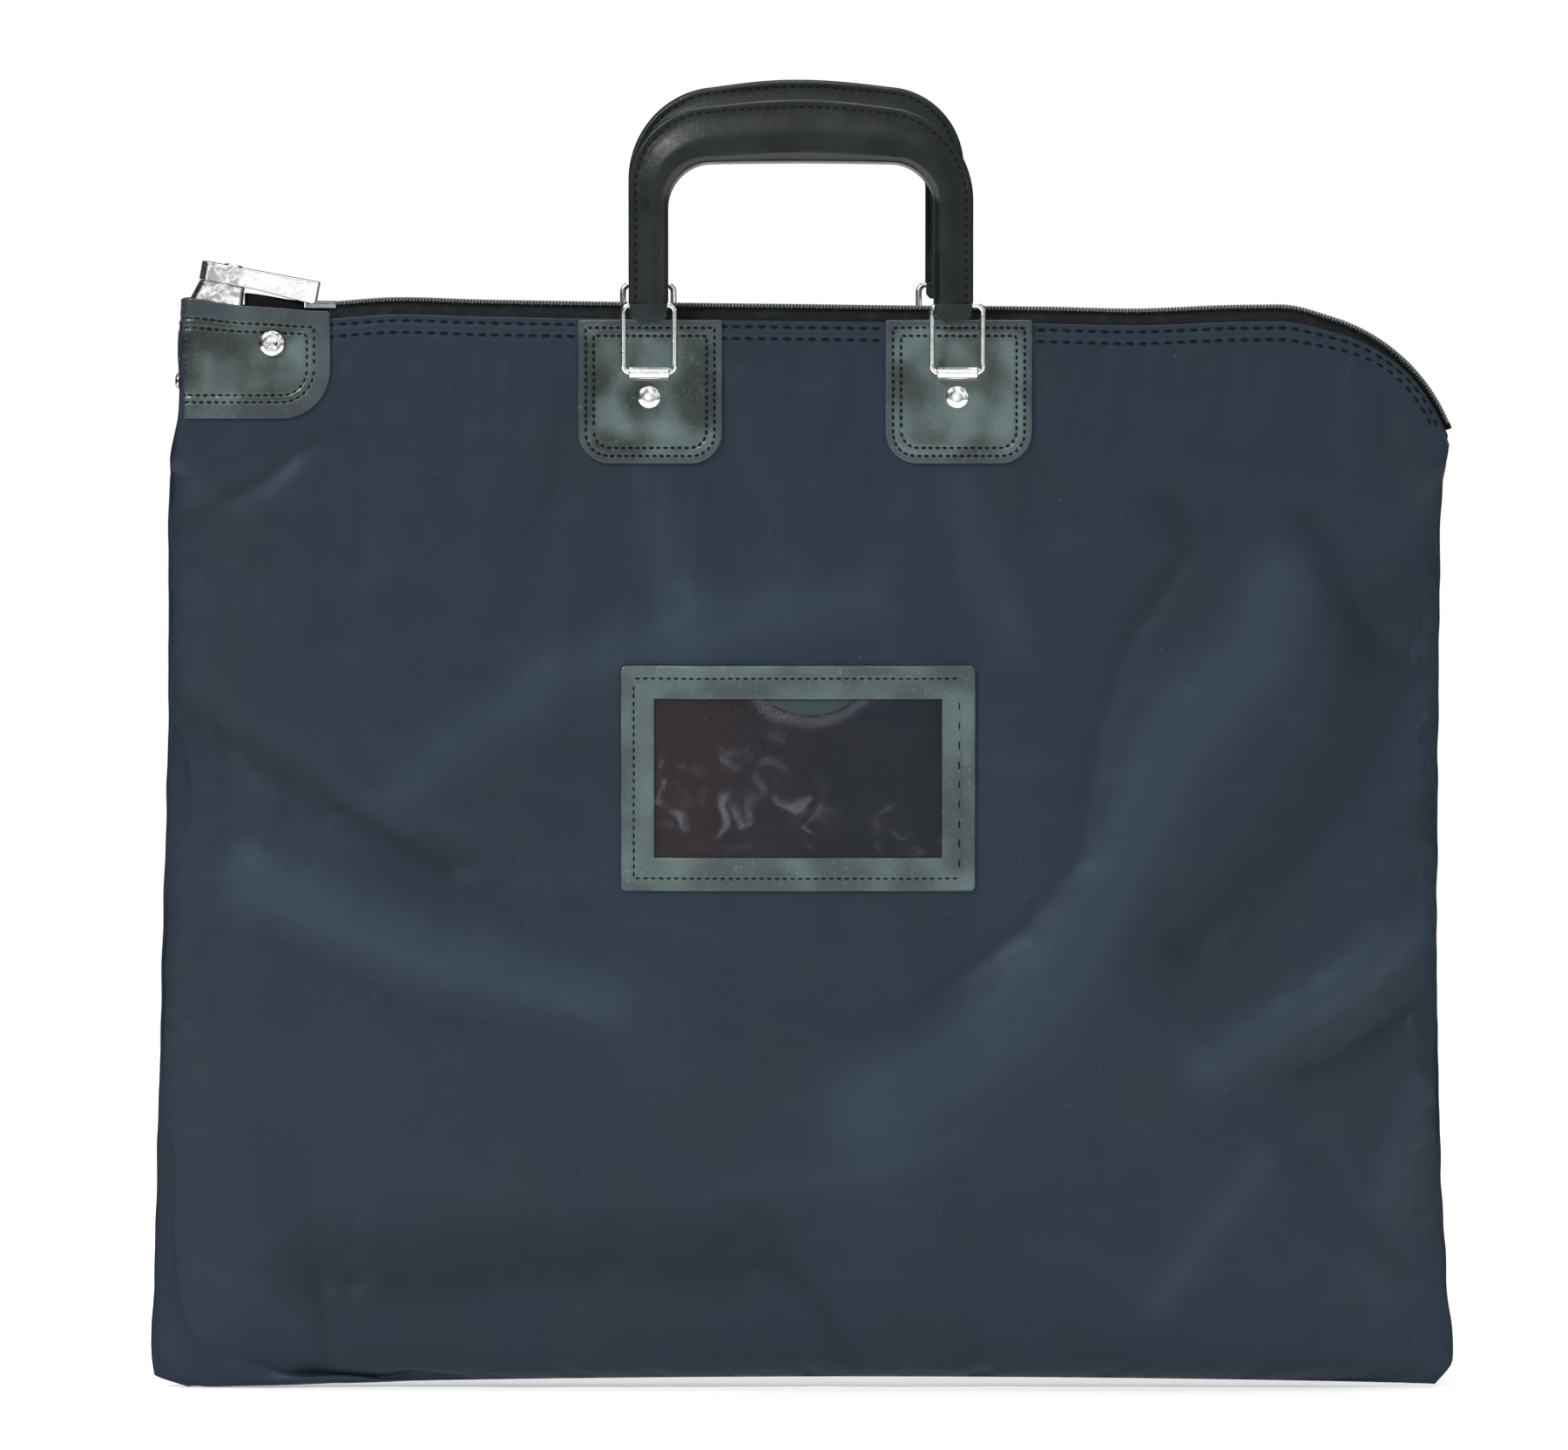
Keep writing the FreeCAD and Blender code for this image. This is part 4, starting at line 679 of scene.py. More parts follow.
# Folds of the limp cloth: the line (x, z) that each follows, its half width, and its height out of the bag
FOLDS = (
    (((-214, 200), (-140, 171), (-77, 153)), 15, 1.7),
    (((-160, 232), (-120, 262), (-85, 284), (-40, 297), (24, 310)), 13, 1.1),
    (((186, 312), (178, 290), (143, 253), (124, 210), (104, 172), (58, 130), (24, 112)), 19, 1.8),
    (((158, 130), (200, 153), (241, 181)), 11, 1.9),
    (((138, 36), (158, 66), (178, 92)), 9, 1.1),
    (((224, 74), (241, 120)), 8, 1.1),
    (((-58, 352), (-54, 322), (-40, 300)), 12, 0.8),
    (((62, 352), (66, 320), (84, 296)), 12, 0.8),
    (((-232, 262), (-182, 230), (-136, 208)), 11, -2.0),
    (((-205, 178), (-145, 151), (-80, 139)), 8, -0.9),
    (((142, 346), (149, 328), (123, 291), (112, 253), (107, 212), (84, 182), (42, 152)), 9, -1.2),
    (((230, 306), (210, 252), (184, 215), (150, 178)), 15, -2.4),
    (((139, 164), (148, 149), (160, 136)), 2, -0.5),
    (((196, 126), (246, 154)), 9, -1.7),
    (((-190, 48), (-100, 56), (-20, 56)), 16, -2.0),
    (((-187, 48), (-185, 12)), 3, -0.8),
    (((-20, 72), (4, 40), (21, 10)), 5, -0.9),
    (((196, 94), (233, 48)), 8, -0.9),
    (((-188, 371), (-206, 356), (-243, 338)), 6, -1.0),
    (((-176, 376), (-168, 350), (-172, 322)), 7, -0.6),
    (((-91, 362), (-106, 336)), 6, -0.6),
    (((-29, 362), (-16, 334)), 6, -0.6),
    (((92, 362), (108, 338)), 6, -0.6),
    (((196, 340), (216, 300), (236, 282)), 8, -0.9),
    (((60, 100), (20, 86), (-30, 84)), 9, 0.7),
)


def folded(x, z, flip):
    """Height of the folds at each point. The rear's folds are those of the front, turned round."""
    total = np.zeros_like(x)
    for line, width, height in FOLDS:
        nearest = np.full_like(x, 1e9)
        for (x0, z0), (x1, z1) in zip(line, line[1:]):
            if flip:
                x0, x1 = 14 - x0, 14 - x1
            dx, dz = x1 - x0, z1 - z0
            t = np.clip(((x - x0) * dx + (z - z0) * dz) / (dx * dx + dz * dz), 0, 1)
            nearest = np.minimum(nearest, np.hypot(x - x0 - t * dx, z - z0 - t * dz))
        total += 1.9 * height / (1 + (nearest / width) ** 2) ** 1.5
    return total


ROWS = np.concatenate([np.linspace(0, 0.955, 150, endpoint=False), np.linspace(0.955, 1, 18)])
COLUMNS = 230
CLOTH = 0.7  # thickness


def make_panels():
    """Front and rear panels: the outline's grid, with folds, soft unevenness and the simulated swelling."""
    moves = simulated()
    x, z = bag_grid(COLUMNS, ROWS)
    depth = bag_depth(x, z)
    below = np.hypot(x - x[-1:, :], z - z[-1:, :])  # distance below the hem's edge, along the grid's columns
    free = 1 - held(x, z)
    seam_fade = rise(depth, 9.0)
    seam = np.maximum(bell(x - edge_at(LEFT_EDGE, z), 4.2), bell(edge_at(RIGHT_EDGE, z) - x, 4.6))
    panels = {}
    for (side, sign), move in zip(SIDES, moves):
        points = np.stack([x, sign * depth, z], axis=-1).reshape(-1, 3)
        soft = (0.8 * wander(points, 55, 1 + sign) + 0.4 * wander(points, 24, 4 + sign)).reshape(x.shape)
        tight = (0.25 * wander(points, 9, 7 + sign)).reshape(x.shape)
        folds = folded(x, z, sign > 0)
        out = depth + seam_fade * (0.25 + 0.75 * free) * (soft + folds)
        out = out + seam_fade * (0.3 + 0.7 * free) * tight
        # two lines pressed in by the hem's stitches, and the ridge between them
        out = out - 0.5 * bell(below - 2.6, 0.9) - 0.5 * bell(below - 7.1, 0.9) + 0.25 * bell(below - 4.8, 1.3)
        edge_wave = (0.5 * wander(points, 14, 11)).reshape(x.shape) * bell(depth, 3.0) * (z < SEAM_TOP)
        final = np.stack([x + edge_wave, sign * out, z], axis=-1) + between(move, COLUMNS, ROWS)
        faces = grid_faces(len(ROWS), COLUMNS, flip=sign > 0)
        obj = piece(f"{side}_panel_cloth", final.reshape(-1, 3), faces, NYLON, "bag", "nylon")
        # painted shade along the side seams, for the cloth's colour to read
        with_values(obj, "seam", (seam * ease((372 - z) / 16)).reshape(-1))
        # painted shade and painted highlight of the folds, for the cloth's colour to read
        with_values(obj, "fold_shading", np.clip(folds / 3, -1, 1).reshape(-1))
        thick = obj.modifiers.new("cloth_thickness", "SOLIDIFY")
        thick.thickness, thick.offset = CLOTH * MM, -1
        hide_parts(f"{side}_panel")
        panels[side] = obj
    return panels


def surface_of(panel):
    """Search tree of a panel's outer face, in millimetres."""
    mesh = panel.data
    return BVHTree.FromPolygons([v.co / MM for v in mesh.vertices], [tuple(p.vertices) for p in mesh.polygons])


TREES = {side: surface_of(panel) for side, panel in make_panels().items()}


def skin(side, x, z):
    """How far the panel's outer face stands out from the middle plane at (x, z)."""
    sign = -1 if side == "front" else 1
    hit = TREES[side].ray_cast(Vector((x, sign * 60, z)), Vector((0, -sign, 0)))
    return abs(hit[0].y) if hit[0] is not None else TOP_DEPTH


# ---- Stitches ----


def run_of(path):
    """Length along a path to each of its points."""
    lengths = [0.0]
    for a, b in zip(path, path[1:]):
        lengths.append(lengths[-1] + (Vector(b) - Vector(a)).length)
    return lengths


def at_length(path, lengths, s):
    """Point of a path at a length along it."""
    i = int(np.clip(np.searchsorted(lengths, s) - 1, 0, len(path) - 2))
    t = (s - lengths[i]) / max(lengths[i + 1] - lengths[i], 1e-9)
    return Vector(path[i]).lerp(Vector(path[i + 1]), t)


def stitches(path, outward, pitch, length, radius, sink):
    """Row of short threads along a path. outward(point) gives the direction out of the cloth."""
    lengths = run_of(path)
    parts = []
    sides, rings = 7, 7
    s, number = pitch / 2, 0
    while s + length / 2 < lengths[-1]:
        a, b = at_length(path, lengths, s - length / 2), at_length(path, lengths, s + length / 2)
        middle = (a + b) / 2
        out = Vector(outward(middle)).normalized()
        along = (b - a).normalized()
        across = along.cross(out).normalized()
        skew = 0.12 * noise.noise(middle * 0.9)
        points = []
        for r in range(rings):
            t = -1 + 2 * r / (rings - 1)
            thick = radius * math.sqrt(max(0.0, 1 - abs(t) ** 3 * 0.93))
            centre = middle + along * (t * length / 2) + out * (0.28 * radius - sink - 1.2 * radius * t**4)
            centre += across * (skew * t)
            for k in range(sides):
                angle = 2 * math.pi * k / sides
                points.append(centre + across * (thick * math.cos(angle)) + out * (thick * math.sin(angle)))
        parts.append((points, capped(grid_faces(rings, sides, wrap=True), rings, sides)))
        number += 1
        s += pitch * (1 + 0.03 * math.sin(number * 2.3))
    return merged(*parts)


def outwards(sign):
    """Direction out of the front (-1) or rear (1), whatever the point."""
    return lambda point: (0, sign, 0)


# ---- Flat sewn pieces: rings of points that follow an outline inwards ----


def outline_points(box, radii, inset, per_side=44, per_corner=14):
    """Closed outline of (x, z) points, anticlockwise from the lower left: a box with four corner radii."""
    x0, z0, x1, z1 = box[0] + inset, box[1] + inset, box[2] - inset, box[3] - inset
    corners = ((x0, z0, 180), (x1, z0, 270), (x1, z1, 0), (x0, z1, 90))
    points, arcs = [], []
    for (cx, cz, turn), radius in zip(corners, radii):
        r = max(radius - inset, 0.15)
        mx, mz = cx + (r if cx == x0 else -r), cz + (r if cz == z0 else -r)
        arcs.append([(mx + r * math.cos(math.radians(turn + 90 * k / per_corner)),
                      mz + r * math.sin(math.radians(turn + 90 * k / per_corner))) for k in range(per_corner + 1)])
    for arc, following in zip(arcs, arcs[1:] + arcs[:1]):
        points += arc
        a, b = arc[-1], following[0]
        points += [(a[0] + (b[0] - a[0]) * k / per_side, a[1] + (b[1] - a[1]) * k / per_side)
                   for k in range(1, per_side)]
    return points


WELL_INSIDE = 99  # inset of what lies inside the last ring


def sewn_flat(box, radii, insets, height, stitched, centre=None):
    """Points (x, out, z), faces and margins of a flat sewn piece: rings at the insets, then in to a centre.
    height(x, z, inset) is how far out of the cloth a point stands. The margin is 1 outside the stitches."""
    rings, insides = [], list(insets)
    for inset in insets:
        rings.append([(x, height(x, z, inset), z) for x, z in outline_points(box, radii, inset)])
    count = len(rings[0])
    if centre is not None:
        last = outline_points(box, radii, insets[-1])
        for t in (0.12, 0.24, 0.36, 0.48, 0.58, 0.68, 0.77, 0.85, 0.92, 0.97):
            insides.append(WELL_INSIDE)
            nearer = [(x + (centre[0] - x) * t, z + (centre[1] - z) * t) for x, z in last]
            rings.append([(x, height(x, z, WELL_INSIDE), z) for x, z in nearer])
    points = [p for ring in rings for p in ring]
    faces = grid_faces(len(rings), count, wrap=True)
    if centre is not None:
        points.append((centre[0], height(*centre, WELL_INSIDE), centre[1]))
        base = (len(rings) - 1) * count
        faces += [(base + k, base + (k + 1) % count, len(points) - 1) for k in range(count)]
    margins = [float(1 - ease((inset - stitched) / 1.0)) for inset in insides for k in range(count)]
    return points, faces, margins + [0.0] * (len(points) - len(margins))


# ---- Tabs ----

TAB_LOW, TAB_HIGH = 359.8, 415.2
TAB_BOXES = {"left": (-86.9, TAB_LOW, -31.2, TAB_HIGH), "right": (31.7, TAB_LOW, 88.4, TAB_HIGH)}
TAB_ROUND = 1.2  # radius of the two upper corners
MOUNT_X = {"front": (-59.4, 59.4), "rear": (-60.0, 54.6)}
MOUNT_Z, REAR_LIFT, REAR_SHIFT = 395.0, 7.0, -2.3
RIVET_DROP = 9.4  # from a ring's lower bar to the rivet


def mount_point(side, direction):
    """Middle (x, z) of a ring's lower bar."""
    return MOUNT_X[side][direction > 0], MOUNT_Z + (REAR_LIFT if side == "rear" else 0)


def groove(distance, width):
    """Narrow line, 1 at its middle, for a row of stitches or a rivet's ring."""
    return math.exp(-(distance / width) ** 2)


def make_tab(side, sign, where, direction):
    """Vinyl tab with two rows of stitches, raised over the clip's leaf and pinched round the rivet."""
    box, radii = TAB_BOXES[where], (12.5, 12.5, TAB_ROUND, TAB_ROUND)
    x0, z0 = mount_point(side, direction)
    level = TOP_DEPTH + 0.05

    def height(x, z, inset):
        out = 1.25
        out -= 0.34 * groove(inset - 3.0, 0.55) + 0.34 * groove(inset - 6.1, 0.55)
        out += 0.16 * groove(inset - 4.55, 0.8)
        if inset > 6:
            beyond_x, beyond_z = max(abs(x - x0) - 6.0, 0), max(abs(z - (z0 - 9.5)) - 8.5, 0)
            leaf = math.exp(-(beyond_x / 4.2) ** 2 - (beyond_z / 4.2) ** 2)
            out += 1.15 * leaf - 0.45 * groove(math.hypot(x - x0, z - (z0 - RIVET_DROP)) - 5.6, 1.6)
        p = Vector((x, 0, z))
        inside = float(ease((inset - 6.2) / 2.5))
        out += inside * (0.12 + 0.38 * noise.noise(p / 11 + Vector((sign * 3, 0, 0))))
        out += 0.12 * noise.noise(p / 4.5) + 0.05 * noise.noise(p / 1.7)
        edge = min(inset / 0.5, 1.0)
        return level + out * (0.72 + 0.28 * math.sin(edge * math.pi / 2))

    insets = [0, 0, 0.12, 0.35, 0.7] + list(np.arange(1.1, 9.2, 0.45))
    centre = (x0, (TAB_LOW + TAB_HIGH) / 2 - 4)
    points, faces, margins = sewn_flat(box, radii, insets, height, 2.2, centre)
    count = len(outline_points(box, radii, 0))
    # the first ring lies on the panel, the second at the top of the cut edge
    for k in range(count):
        x, _, z = points[k]
        points[k] = (x, TOP_DEPTH - 0.1, z)
        points[count + k] = (x, level + 0.9, z)
    solid = [Vector((x, sign * out, z)) for x, out, z in points]
    if sign > 0:
        faces = [f[::-1] for f in faces]
    tab = piece(f"tab_{side}_{where}_vinyl", solid, faces, VINYL, "bag", "vinyl")
    with_values(tab, "margin", margins)
    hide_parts(f"tab_{side}_{where}")
    rows = []
    for inset, gap in ((3.0, 11.5), (6.1, 12.5)):
        path = outline_points(box, (gap, gap, TAB_ROUND, TAB_ROUND), inset)
        path = [Vector((x, sign * (level + 0.98), z)) for x, z in path + path[:1]]
        rows.append(stitches(path, outwards(sign), 2.72, 1.95, 0.42, -0.06))
    piece(f"tab_{side}_{where}_stitches", *merged(*rows), THREAD, "bag", "vinyl")


for side, sign in SIDES:
    for where, direction in MOUNTS:
        make_tab(side, sign, where, direction)

# ---- Clips, rings and rivets ----

CLIP_OUT, WIRE, LEAN = 4.6, 1.15, math.radians(7)
RING_LENGTH, RING_HALF, RING_CORNER = 26.3, 9.8, 2.7
SLEEVE_OUTER, SLEEVE_INNER, SLEEVE_HALF = 2.52, 1.22, 7.9


def ring_path():
    """Closed loop of a ring in its own plane: (across, up) from the middle of its lower bar."""
    w, t, corner, steps = RING_HALF, RING_LENGTH, RING_CORNER, 7
    corners = ((w, 0, -90), (w, t, 0), (-w, t, 90), (-w, 0, 180))
    path = []
    for cx, cz, turn in corners:
        mx, mz = cx - math.copysign(corner, cx), corner if cz == 0 else t - corner
        for k in range(steps + 1):
            a = math.radians(turn + 90 * k / steps)
            path.append((mx + corner * math.cos(a), mz + corner * math.sin(a)))
    fuller = []
    for (ax, az), (bx, bz) in zip(path, path[1:] + path[:1]):
        count = max(1, int(math.hypot(bx - ax, bz - az) / 1.2))
        fuller += [(ax + (bx - ax) * k / count, az + (bz - az) * k / count) for k in range(count)]
    return fuller


def make_ring(side, sign, where, direction):
    """Wire ring that stands up from its clip and leans out a little."""
    x0, z0 = mount_point(side, direction)
    out = TOP_DEPTH + CLIP_OUT
    path = [Vector((x0 + a, sign * (out + b * math.sin(LEAN)), z0 + b * math.cos(LEAN))) for a, b in ring_path()]
    normal = Vector((0, sign * math.cos(LEAN), -math.sin(LEAN)))
    points, faces = sweep(path, ring_section(WIRE, 16), closed=True, up=normal)
    ring = piece(f"ring_{side}_{where}_wire", points, faces, BRIGHT, f"{side}_ring_{where}", "bright_metal")
    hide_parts(f"ring_{side}_{where}")


def make_clip(side, sign, where, direction):
    """Sleeve rolled from sheet round the ring's bar, with the folded lip that goes under the tab."""
    x0, z0 = mount_point(side, direction)
    out = TOP_DEPTH + CLIP_OUT
    bend = [math.radians(-62 + 304 * k / 24 - 180) for k in range(25)]
    section = [(SLEEVE_OUTER * math.cos(a), SLEEVE_OUTER * math.sin(a)) for a in bend]
    section += [(SLEEVE_INNER * math.cos(a), SLEEVE_INNER * math.sin(a)) for a in bend[::-1]]
    points = []
    for x in (-SLEEVE_HALF, -SLEEVE_HALF + 0.25, SLEEVE_HALF - 0.25, SLEEVE_HALF):
        squeeze = 0.93 if abs(x) == SLEEVE_HALF else 1.0
        points += [Vector((x0 + x, sign * (out + b * squeeze), z0 + c * squeeze)) for b, c in section]
    faces = capped(grid_faces(4, len(section), wrap=True), 4, len(section))
    lip = [(0.6, -2.9), (0.6, -2.2), (-1.6, -1.35), (-4.1, -0.7), (-4.1, -1.6), (-1.8, -2.6)]
    lip_points = [Vector((x0 + x, sign * (out + b), z0 + c))
                  for x in (-SLEEVE_HALF + 0.2, SLEEVE_HALF - 0.2) for b, c in lip]
    lip_faces = capped(grid_faces(2, len(lip), wrap=True), 2, len(lip))
    clip = piece(f"clip_{side}_{where}_metal", *merged((points, faces), (lip_points, lip_faces)), BRIGHT, "bag",
                 "bright_metal")
    bevelled(clip, 0.22, 2, 40)
    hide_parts(f"clip_{side}_{where}")


def make_rivet(side, sign, where, direction):
    """Domed rivet head outside the tab, and the tail inside the bag that holds its washer."""
    x0, z0 = mount_point(side, direction)
    turn = Matrix.Rotation(math.radians(90 * -sign), 4, "X")
    head = [(0, 1.62), (2.4, 1.42), (3.9, 0.92), (4.45, 0.45), (4.5, 0.0), (3.6, -0.25), (0, -0.3)]
    tail = [(0, 0.4), (2.3, 0.4), (2.3, -0.1), (0, -0.1)]
    for end, profile, radius, sides, out, facing in (("head", head, 0.35, 48, 2.0, turn),
                                                     ("tail", tail, 0.2, 24, -2.0, turn.inverted())):
        points, faces = lathe(rounded(profile, radius), sides)
        place = Matrix.Translation((x0, sign * (TOP_DEPTH + out), z0 - RIVET_DROP)) @ facing
        piece(f"rivet_{side}_{where}_{end}", moved(points, place), faces, BRIGHT, "bag",
                          "bright_metal")
    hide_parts(f"rivet_{side}_{where}")


for side, sign in SIDES:
    for where, direction in MOUNTS:
        make_ring(side, sign, where, direction)
        make_clip(side, sign, where, direction)
        make_rivet(side, sign, where, direction)

# ---- Handles ----

LEG_OUT, LEG_IN, LEG_START = 66.3, 51.0, -1.5
HANDLE_TOP, HANDLE_INSIDE = 79.0, 54.4
STATIONS, HALF_SECTION = 200, 25
SEAM_INSET = 2.7  # from the cover's outer edge to its stitches
CAP_X, CAP_HALF, CAP_LOW, CAP_HIGH, CAP_DEPTH = 58.6, 7.2, -5.7, 0.6, 3.9


def contour(half_width, top, left_r, right_r, crown):
    """Path of (x, z) up one leg, over the top and down the other, evenly spaced. z is above the rings' bars."""

    def half(sign, radius):
        arc_middle = (half_width - radius, top - crown - radius)
        leg = [(half_width, LEG_START + (arc_middle[1] - LEG_START) * k / 30) for k in range(30)]
        bend = [(arc_middle[0] + radius * math.cos(a), arc_middle[1] + radius * math.sin(a))
                for a in np.linspace(0, math.radians(86), 40)]
        x1, z1 = bend[-1]
        over = [(x1 * (1 - t), z1 + (top - z1) * math.sin(t * math.pi / 2)) for t in np.linspace(0, 1, 40)[1:]]
        return [(sign * x, z) for x, z in leg + bend + over]

    left, right = half(-1, left_r), half(1, right_r)
    path = [Vector((x, z)) for x, z in left + right[-2::-1]]
    lengths = run_of(path)
    return [at_length(path, lengths, s) for s in np.linspace(0, lengths[-1], STATIONS)]


def matched(outer, inner):
    """Inner point for each outer one: by height on the legs, by angle from the grip's middle round the top."""
    hub = Vector((0, 28))
    angles = [math.atan2(p.x - hub.x, p.y - hub.y) for p in inner]
    pairs = []
    for p in outer:
        if p.y < hub.y:
            pairs.append(Vector((math.copysign(LEG_IN, p.x), p.y)))
            continue
        want = math.atan2(p.x - hub.x, p.y - hub.y)
        i = int(np.clip(np.searchsorted(angles, want), 1, len(angles) - 1))
        t = (want - angles[i - 1]) / (angles[i] - angles[i - 1] + 1e-9)
        pairs.append(inner[i - 1].lerp(inner[i], min(1.0, max(0.0, t))))
    return pairs


OUTER = contour(LEG_OUT, HANDLE_TOP, 31, 36, 2.8)
INNER = matched(OUTER, contour(LEG_IN, HANDLE_INSIDE, 17, 17, 0.3))


def cover_section(width, grip):
    """Half section of the cover, as (share from the outer edge, half thickness): a thin stitched flange, then
    a padded roll. grip is 0 at a leg and 1 at the top."""
    flange, full = 1.45, 3.3 + 2.05 * grip
    section = []
    for k in range(HALF_SECTION):
        t = k / (HALF_SECTION - 1)
        a = t * width
        thick = flange + (full - flange) * ease((a - 3.4) / (width * 0.42))
        thick -= 0.42 * groove(a - SEAM_INSET, 0.5)
        roll = min(1.0, (width - a) / full)
        thick *= math.sqrt(max(0.0, 1 - (1 - roll) ** 2))
        if a < 0.8:
            thick *= math.sqrt(1 - (1 - a / 0.8) ** 2) * 0.5 + 0.5
        section.append((t, float(thick)))
    return section


def make_cover(side, put):
    """Leatherette cover round the handle's core, with a rolled inner edge."""
    points = []
    for a, b in zip(OUTER, INNER):
        section = cover_section((a - b).length, float(ease((a.y - 30) / 40)))
        wrinkle = 0.10 * noise.noise(Vector((a.x, a.y, 3)) / 5)
        face = [(t, thick + wrinkle * (thick > 1.2)) for t, thick in section]
        back = [(t, -thick) for t, thick in section[::-1]][1:-1]
        for t, thick in face + back:
            p = a.lerp(b, t)
            points.append(put(p.x, thick, p.y))
    n = 2 * HALF_SECTION - 2
    faces = capped(grid_faces(STATIONS, n, wrap=True, flip=True), STATIONS, n)
    cover = piece(f"handle_{side}_cover_leatherette", points, faces, LEATHERETTE, f"{side}_handle", "leatherette")
    cover.data.materials.append(ROLLED)
    for polygon in cover.data.polygons:
        column = min(v % n for v in polygon.vertices)
        if len(polygon.vertices) == 4 and 19 <= column <= 28:
            polygon.material_index = 1
    made = bmesh.new()
    made.from_mesh(cover.data)
    bmesh.ops.recalc_face_normals(made, faces=made.faces)
    made.to_mesh(cover.data)
    made.free()
    cover.data.shade_smooth()
    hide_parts(f"handle_{side}_cover", f"handle_{side}_core")


def make_end_caps(side, put):
    """Glossy ends of the handle, folded round the rings' upper bars."""
    low, high, width = CAP_LOW, CAP_HIGH, CAP_HALF
    outline = rounded([(0, high), (width * 0.98, high), (width, high - 1), (width, low + 1.6),
                       (width - 1.6, low), (0, low)], 0.8, 4)
    outline += [(-x, z) for x, z in outline[-2:0:-1]]
    layers = ((-1, 0.86), (-0.93, 0.95), (-0.75, 1.0), (0.75, 1.0), (0.93, 0.95), (1, 0.86))
    for where, direction in MOUNTS:
        points = [put(direction * CAP_X + x * (1 - (1 - size) * 0.6), CAP_DEPTH * share,
                      (z - low) * size + low + (1 - size) * 2) for share, size in layers for x, z in outline]
        faces = capped(grid_faces(len(layers), len(outline), wrap=True), len(layers), len(outline))
        cap = piece(f"handle_{side}_end_{where}", points, faces, GLOSSY_CAP, f"{side}_handle", "end_cap")
        bevelled(cap, 0.3, 2, 50)
        named = where if side == "front" else {"left": "right", "right": "left"}[where]
        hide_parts(f"handle_{side}_end_cap_{named}")


def make_handle(side, sign):
    """Handle at rest on its rings. The rear handle is the same part, turned round."""
    out = TOP_DEPTH + CLIP_OUT + RING_LENGTH * math.sin(LEAN)
    shift, lift, narrow = (-0.9, 0, 1.0) if side == "front" else (REAR_SHIFT - 0.4, REAR_LIFT + 0.4, 0.98)
    base = MOUNT_Z + lift + RING_LENGTH * math.cos(LEAN)

    def put(x, thick, z):
        return Vector((-sign * narrow * x + shift, sign * (out + thick), base + z))

    make_cover(side, put)
    seams = []
    for face in (1, -1):
        path = []
        for a, b in zip(OUTER, INNER):
            p = a.lerp(b, SEAM_INSET / (a - b).length)
            path.append(put(p.x, face * 1.2, p.y))
        seams.append(stitches(path, outwards(sign * face), 3.3, 2.1, 0.34, 0.04))
    piece(f"handle_{side}_stitches", *merged(*seams), THREAD, f"{side}_handle", "leatherette")
    make_end_caps(side, put)


for side, sign in SIDES:
    make_handle(side, sign)

# ---- Zipper ----

TAPE_START, CHAIN_START = 240 - 213, 240 - 188.5  # along the top, where the tapes and the first tooth are
COIL_PITCH = 1.27


def along_zipper(s, out, up, sign):
    """Point beside the chain: out from the middle plane and up from the middle of the chain."""
    x, z = along_top(s, -up)
    return Vector((float(x), sign * out, float(z)))


def make_tape(side, sign):
    """Woven tape: its beaded edge at the chain, then down inside the hem."""
    section = [(1.55, -1.0), (2.4, -0.75), (3.5, -2.2), (4.7, -4.0), (5.75, -6.2), (5.75, -15.5), (5.25, -15.5),
               (5.2, -6.4), (4.2, -4.4), (3.1, -2.8), (1.6, -1.7)]
    stations = np.linspace(TAPE_START, TOP_LENGTH, 300)
    points = [along_zipper(s, a, b, sign) for s in stations for a, b in section]
    faces = capped(grid_faces(len(stations), len(section), wrap=True, flip=sign > 0), len(stations), len(section))
    tape = piece(f"zipper_tape_{side}_cloth", points, faces, TAPE, "bag", "zipper_tape")
    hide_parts(f"zipper_tape_{side}")


def make_coil(side, sign):
    """Coil of nylon wire that makes one row of teeth. The rear coil is half a pitch on from the front one."""
    turns = int((TOP_LENGTH - 1.0 - CHAIN_START) / COIL_PITCH)
    steps, sides, wire = 10, 6, 0.34
    centres = []
    for k in range(turns * steps):
        phase = 2 * math.pi * k / steps
        s = CHAIN_START + COIL_PITCH * k / steps + (0.5 * COIL_PITCH if sign > 0 else 0)
        centres.append(along_zipper(s, 1.62 + 1.3 * math.cos(phase), 0.12 + 0.78 * math.sin(phase), sign))
    points = []
    for k, p in enumerate(centres):
        tangent = (centres[min(k + 1, len(centres) - 1)] - centres[max(k - 1, 0)]).normalized()
        # the wire's own sideways direction, kept from turn to turn so that it doesn't twist
        across = tangent.orthogonal().normalized() if k == 0 else (across - tangent * across.dot(tangent))
        across.normalize()
        other = tangent.cross(across)
        points += [p + across * a + other * b for a, b in ring_section(wire, sides)]
    faces = capped(grid_faces(len(centres), sides, wrap=True), len(centres), sides)
    coil = piece(f"zipper_coil_{side}", points, faces, COIL, "bag", "zipper_teeth")
    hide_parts(f"zipper_teeth_{side}")


